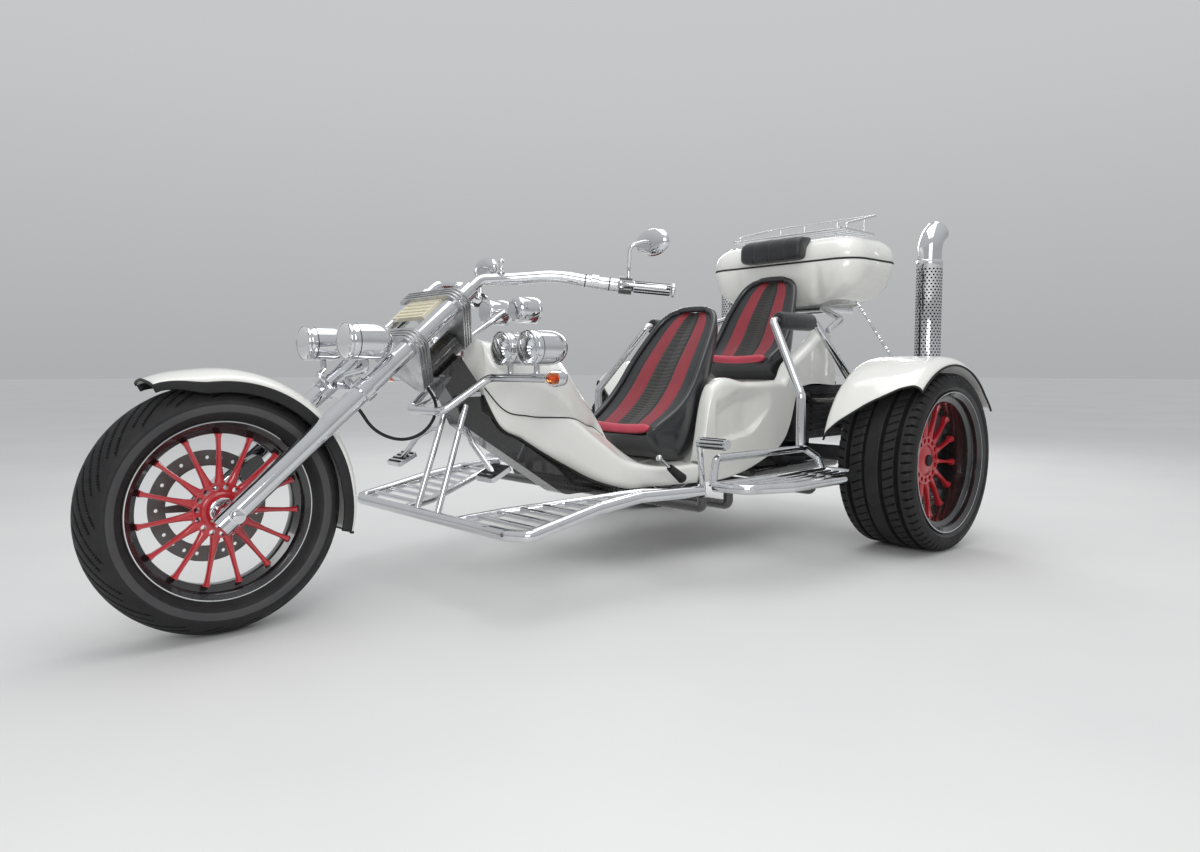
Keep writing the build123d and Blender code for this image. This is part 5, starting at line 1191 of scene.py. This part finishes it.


# Exhaust stacks: a bent pipe, a perforated shield with bands, its holes drawn as dark discs of painted shade, and a
# turned tip with soot inside
stack_station = 2.800
stack_side = 0.542
hole_radius = 0.0042
hole_from_axis = 0.0538
tip_bend = 0.086
tip_height = 1.208
shield = [(0.640, 0.038), (0.640, 0.052), (0.643, 0.055), (0.664, 0.055), (0.666, 0.0535), (1.135, 0.0535),
          (1.137, 0.055), (1.158, 0.055), (1.161, 0.052), (1.161, 0.046)]
tip_edge = [(-0.004, 0.050), (0.001, 0.0505), (0.002, 0.0485), (0.001, 0.0465), (-0.004, 0.0465)]
stacks = Shape()
for side in (1, -1):
    lower = route(side, (2.600, 0.2503, 0.450), (2.600, 0.330, 0.450), (2.780, 0.420, 0.450),
                  (stack_station, stack_side, 0.470), (stack_station, stack_side, 0.66))
    tip = route(side, (stack_station, stack_side, 1.155), *(
        (stack_station + tip_bend * (1 - cos(t)), stack_side + 0.006 * sin(t), tip_height + tip_bend * sin(t))
        for t in np.linspace(0, radians(56), 14)))
    tip.append(tip[-1] + (tip[-1] - tip[-2]).normalized() * 0.014)
    stacks.pipe(round_path(lower, 0.045, 8), 0.038, 28)
    stacks.pipe(tip, 0.050, 40, caps=(False, False))
    stacks.pipe(tip, 0.0465, 40, caps=(True, False), mark=1)
    stacks.revolve(tip_edge, tip[-1], tip[-1] - tip[-2], 40)
    base = at(stack_station, side * stack_side, 0)
    stacks.revolve(shield, base, (0, 0, 1), 64)
    # Each hole is a flat dark disc on the shield: painted shade in place of an opening
    for row in range(36):
        for turn in circle(20) + pi / 20 * (row % 2):
            around = Vector((-sin(turn), cos(turn), 0)) * hole_radius
            centre = base + Vector((hole_from_axis * cos(turn), hole_from_axis * sin(turn), 0.676 + 0.0127 * row))
            hole = [centre + around * cos(t) + Vector((0, 0, hole_radius * sin(t))) for t in circle(8)]
            stacks.add(hole, [tuple(range(8))], 1)
    for height in (0.70, 1.10):
        stacks.bolt_head(base + Vector((0.047, side * -0.028, height)), (0.86, side * -0.5, 0), 0.006, 0.006)
stacks.make("exhaust_dressed", [bright, soot_and_painted_hole_shade], "chrome", "root", "exhaust_stacks", 45)


# Handlebar: one smooth tube on each side, with a collar at its joint
bar_route = [on_fork(0.935, fork_offset, fork_leg_side), on_fork(0.980, fork_offset, fork_leg_side),
             at(0.845, 0.176, 0.972), at(0.940, 0.252, 0.982), switch_inner - grip_direction * 0.070, switch_inner]
bar_curve = round_path(bar_route, (0.020, 0.048, 0.045, 0.030), 12)
collar = [(-0.012, 0.0185), (-0.011, 0.0215), (0.011, 0.0215), (0.012, 0.0185)]
tie = [(-0.0018, 0.0188), (-0.0018, 0.0204), (0.0018, 0.0204), (0.0018, 0.0188)]
handlebar, ties = Shape(), Shape()
for side in (1, -1):
    line = bar_curve if side > 0 else flip(bar_curve)
    handlebar.pipe(line, 0.019, 28)
    run = (line[-1] - line[-14]).normalized()
    handlebar.revolve(collar, line[-1] - run * 0.075, run, 36)
    for back in (0.030, 0.105):
        ties.revolve(tie, line[-1] - run * back, run, 32)
handlebar.make("handlebar_dressed", [bright], "chrome", "steering", "handlebar", 45)
ties.make("cable_ties", [soft_rubber], "grip_rubber", "steering")

# Bolts and nuts of the fork, and the lantern-like ornament beside its top
fork_bolts = Shape()
nut = [(-0.006, 0), (-0.006, 0.013), (0.0, 0.013), (0.0015, 0.011), (0.0015, 0.007), (0.0005, 0.006), (0.0005, 0)]
for side in (1, -1):
    fork_bolts.bolt_head(front_centre + side_axis * (side * 0.1535), (0, side, 0), 0.015, 0.012)
    for along in (0.678, 0.871):
        fork_bolts.revolve(nut, on_fork(along, fork_offset, side * 0.163), (0, side, 0), 32)
ornament = at(0.800, 0.165, 0.985)
fork_bolts.revolve([(0, 0), (0, 0.012), (0.004, 0.012), (0.006, 0.006), (0.010, 0.005), (0.012, 0.009), (0.016, 0.009),
                    (0.016, 0)], ornament, (0, 0, 1), 24)
for turn in circle(3):
    foot = ornament + Vector((0.006 * cos(turn), 0.006 * sin(turn), 0.014))
    fork_bolts.pipe([foot, foot + Vector((0, 0, 0.014))], 0.0018, 8)
ball = [(0.028 + 0.009 * (1 - cos(t)), 0.009 * sin(t)) for t in np.linspace(0, pi, 12)]
fork_bolts.revolve(ball, ornament, (0, 0, 1), 24)
fork_bolts.make("fork_bolts", [bright], "chrome", "steering", sharp=40)

# Engine dress: cooling fins on the top and sides, with hoses along the side
engine_dress = Shape()
for station in np.arange(2.315, 2.640, 0.024):
    engine_dress.block(at(station, 0, 0.629), (0.007, 0.400, 0.016), bevel=0.002)
for side in (1, -1):
    for height in np.arange(0.430, 0.590, 0.026):
        engine_dress.block(at(2.470, side * 0.255, height), (0.240, 0.012, 0.008), bevel=0.002)
    hose = route(side, (2.300, 0.252, 0.560), (2.262, 0.300, 0.590), (2.215, 0.262, 0.540), (2.240, 0.230, 0.450),
                 (2.300, 0.262, 0.420))
    low_hose = route(side, (2.250, 0.200, 0.500), (2.205, 0.230, 0.470), (2.190, 0.190, 0.400), (2.240, 0.180, 0.360))
    engine_dress.pipe(round_path(hose, 0.03, 8), 0.012, 14, mark=1)
    engine_dress.pipe(round_path(low_hose, 0.025, 8), 0.009, 12, mark=1)
    for station in (2.290, 2.620):
        for height in (0.430, 0.560):
            engine_dress.bolt_head(at(station, side * 0.250, height), (0, side, 0), 0.007, 0.007, mark=2)
engine_dress.make("engine_dress", [iron, cable_rubber, dark_chrome], "engine_iron", sharp=35)

# Rubber strips on the pegs and pedals, the gear lever with its boot and a twisted rod
peg_rubbers = Shape()
plate_up, plate_along = Vector((0.5, 0, 1)).normalized(), Vector((1, 0, -0.5)).normalized()
for side in (1, -1):
    for turn in circle(8):
        peg_rubbers.pipe([point + wheel_axes(turn)[0] * 0.0162
                          for point in route(side, (1.376, 0.485, 0.450), (1.376, 0.582, 0.450))], 0.0028, 8)
    for shift in (-0.027, -0.009, 0.009, 0.027):
        centre = at(0.690, side * 0.270, 0.388) + plate_along * shift + plate_up * 0.006
        peg_rubbers.pipe([centre - side_axis * 0.036, centre + side_axis * 0.036], 0.0045, 10)
peg_rubbers.make("peg_rubbers", [soft_rubber], "grip_rubber")

gear_top, gear_foot = at(1.363, 0.300, 0.386), at(1.488, 0.300, 0.300)
gear_run, gear_length = gear_foot - gear_top, (gear_foot - gear_top).length
gear = Shape()
gear.revolve([(-0.010 * cos(t), 0.012 * sin(t)) for t in np.linspace(0, pi, 12)], gear_top, gear_run, 28)
gear.pipe([gear_top, gear_foot], 0.0065, 16)
boot = [(gear_length * (0.42 + 0.56 * k / 24), 0.0105 + 0.006 * k / 24 + 0.0022 * (k % 2)) for k in range(25)]
gear.revolve(boot, gear_top, gear_run, 28, mark=1)
gear.make("gear_lever", [bright, soft_rubber], "chrome", sharp=50)

twisted = Shape()
for side in (1, -1):
    top, foot = route(side, (2.545, 0.345, 0.984), (2.490, 0.553, 0.730))
    across, up = cross_axes((foot - top).normalized())
    twisted.skin([[top.lerp(foot, share) + (across * cos(t) + up * sin(t)) * 0.0065
                   for t in share * 20 * pi + circle(4)] for share in np.linspace(0, 1, 121)], caps=(True, True))
twisted.make("twisted_rods", [bright], "chrome", sharp=30)


# Fork cable: the CAD node's route, point for point
cable_points = [
    on_fork(0.470, 0.112, 0), on_fork(0.470, 0.061, 0), at(0.449, 0, 0.509), at(0.533, 0, 0.474),
    at(0.600, 0.012, 0.488), at(0.652, 0.004, 0.530), on_fork(0.6805, -0.106, 0), on_fork(0.6805, -0.044, 0),
]


def fork_cable():
    """Free cable as a curve whose control points are the route's points."""
    curve = bpy.data.curves.new("fork_cable_loop", "CURVE")
    curve.dimensions = "3D"
    spline = curve.splines.new("NURBS")
    spline.points.add(len(cable_points) - 1)
    for point, place in zip(spline.points, cable_points):
        point.co = (*place, 1)
    spline.order_u = 3
    spline.use_endpoint_u = True
    spline.resolution_u = 16
    curve.bevel_depth = 0.005
    curve.bevel_resolution = 5
    curve.use_fill_caps = True
    curve.materials.append(cable_rubber)
    piece = add_piece("fork_cable_loop", curve, "steering", "fork_cable")


fork_cable()


# Stage, lamps and camera

def add_floor():
    look = Look("studio_floor")
    look.surface(look.ramp(look.noise(0.8, 4), 0.35, 0.7), ((0.74, 0.74, 0.73), (0.70, 0.70, 0.695)), 0.65)
    half = 60
    mesh = bpy.data.meshes.new("studio_floor")
    mesh.from_pydata([(-half, -half, 0), (half, -half, 0), (half, half, 0), (-half, half, 0)], [], [(0, 1, 2, 3)])
    mesh.materials.append(look.material)
    add_object("studio_floor", mesh)


def set_world():
    """Pale surroundings that darken a little towards the horizon, so that bright metal has something to show."""
    world = bpy.data.worlds.new("studio")
    bpy.context.scene.world = world
    world.use_nodes = True
    nodes, links = world.node_tree.nodes, world.node_tree.links
    background = nodes["Background"]
    where = nodes.new("ShaderNodeTexCoord")
    split = nodes.new("ShaderNodeSeparateXYZ")
    links.new(where.outputs["Generated"], split.inputs[0])
    ramp = nodes.new("ShaderNodeValToRGB")
    ramp.color_ramp.elements[0].position = 0.0
    ramp.color_ramp.elements[0].color = (0.50, 0.51, 0.52, 1)
    ramp.color_ramp.elements[1].position = 1.0
    ramp.color_ramp.elements[1].color = (0.80, 0.81, 0.83, 1)
    middle = ramp.color_ramp.elements.new(0.30)
    middle.color = (0.66, 0.67, 0.685, 1)
    links.new(split.outputs["Z"], ramp.inputs["Fac"])
    links.new(ramp.outputs["Color"], background.inputs["Color"])
    background.inputs["Strength"].default_value = 0.84


def aim(item, place, direction):
    item.location = place
    item.rotation_euler = Vector(direction).to_track_quat("-Z", "Y").to_euler()


def add_area_light(name, place, target, size, power):
    light = bpy.data.lights.new(name, "AREA")
    light.shape = "RECTANGLE"
    light.size, light.size_y = size
    light.energy = power
    aim(add_object(name, light), place, Vector(target) - Vector(place))


def add_camera():
    """Camera where the photograph was taken from."""
    data = bpy.data.cameras.new("photo_camera")
    data.lens = 24.93
    data.sensor_width = 36
    camera = add_object("photo_camera", data)
    heading, pitch = radians(-132.3), radians(-3.99)
    aim(camera, (2.008, 2.276, 0.696), (cos(pitch) * cos(heading), cos(pitch) * sin(heading), sin(pitch)))
    bpy.context.scene.camera = camera


bpy.context.scene.view_settings.view_transform = "Standard"
add_floor()
set_world()
add_area_light("top_box", (-0.3, 0.4, 4.2), (0, 0, 0.4), (4.5, 2.6), 66)
add_area_light("key_box", (3.4, 3.6, 2.2), (0, 0, 0.6), (2.6, 2.0), 82)
add_area_light("rear_box", (-4.0, -2.6, 2.6), (-0.5, 0, 0.6), (2.6, 1.6), 56)
add_camera()
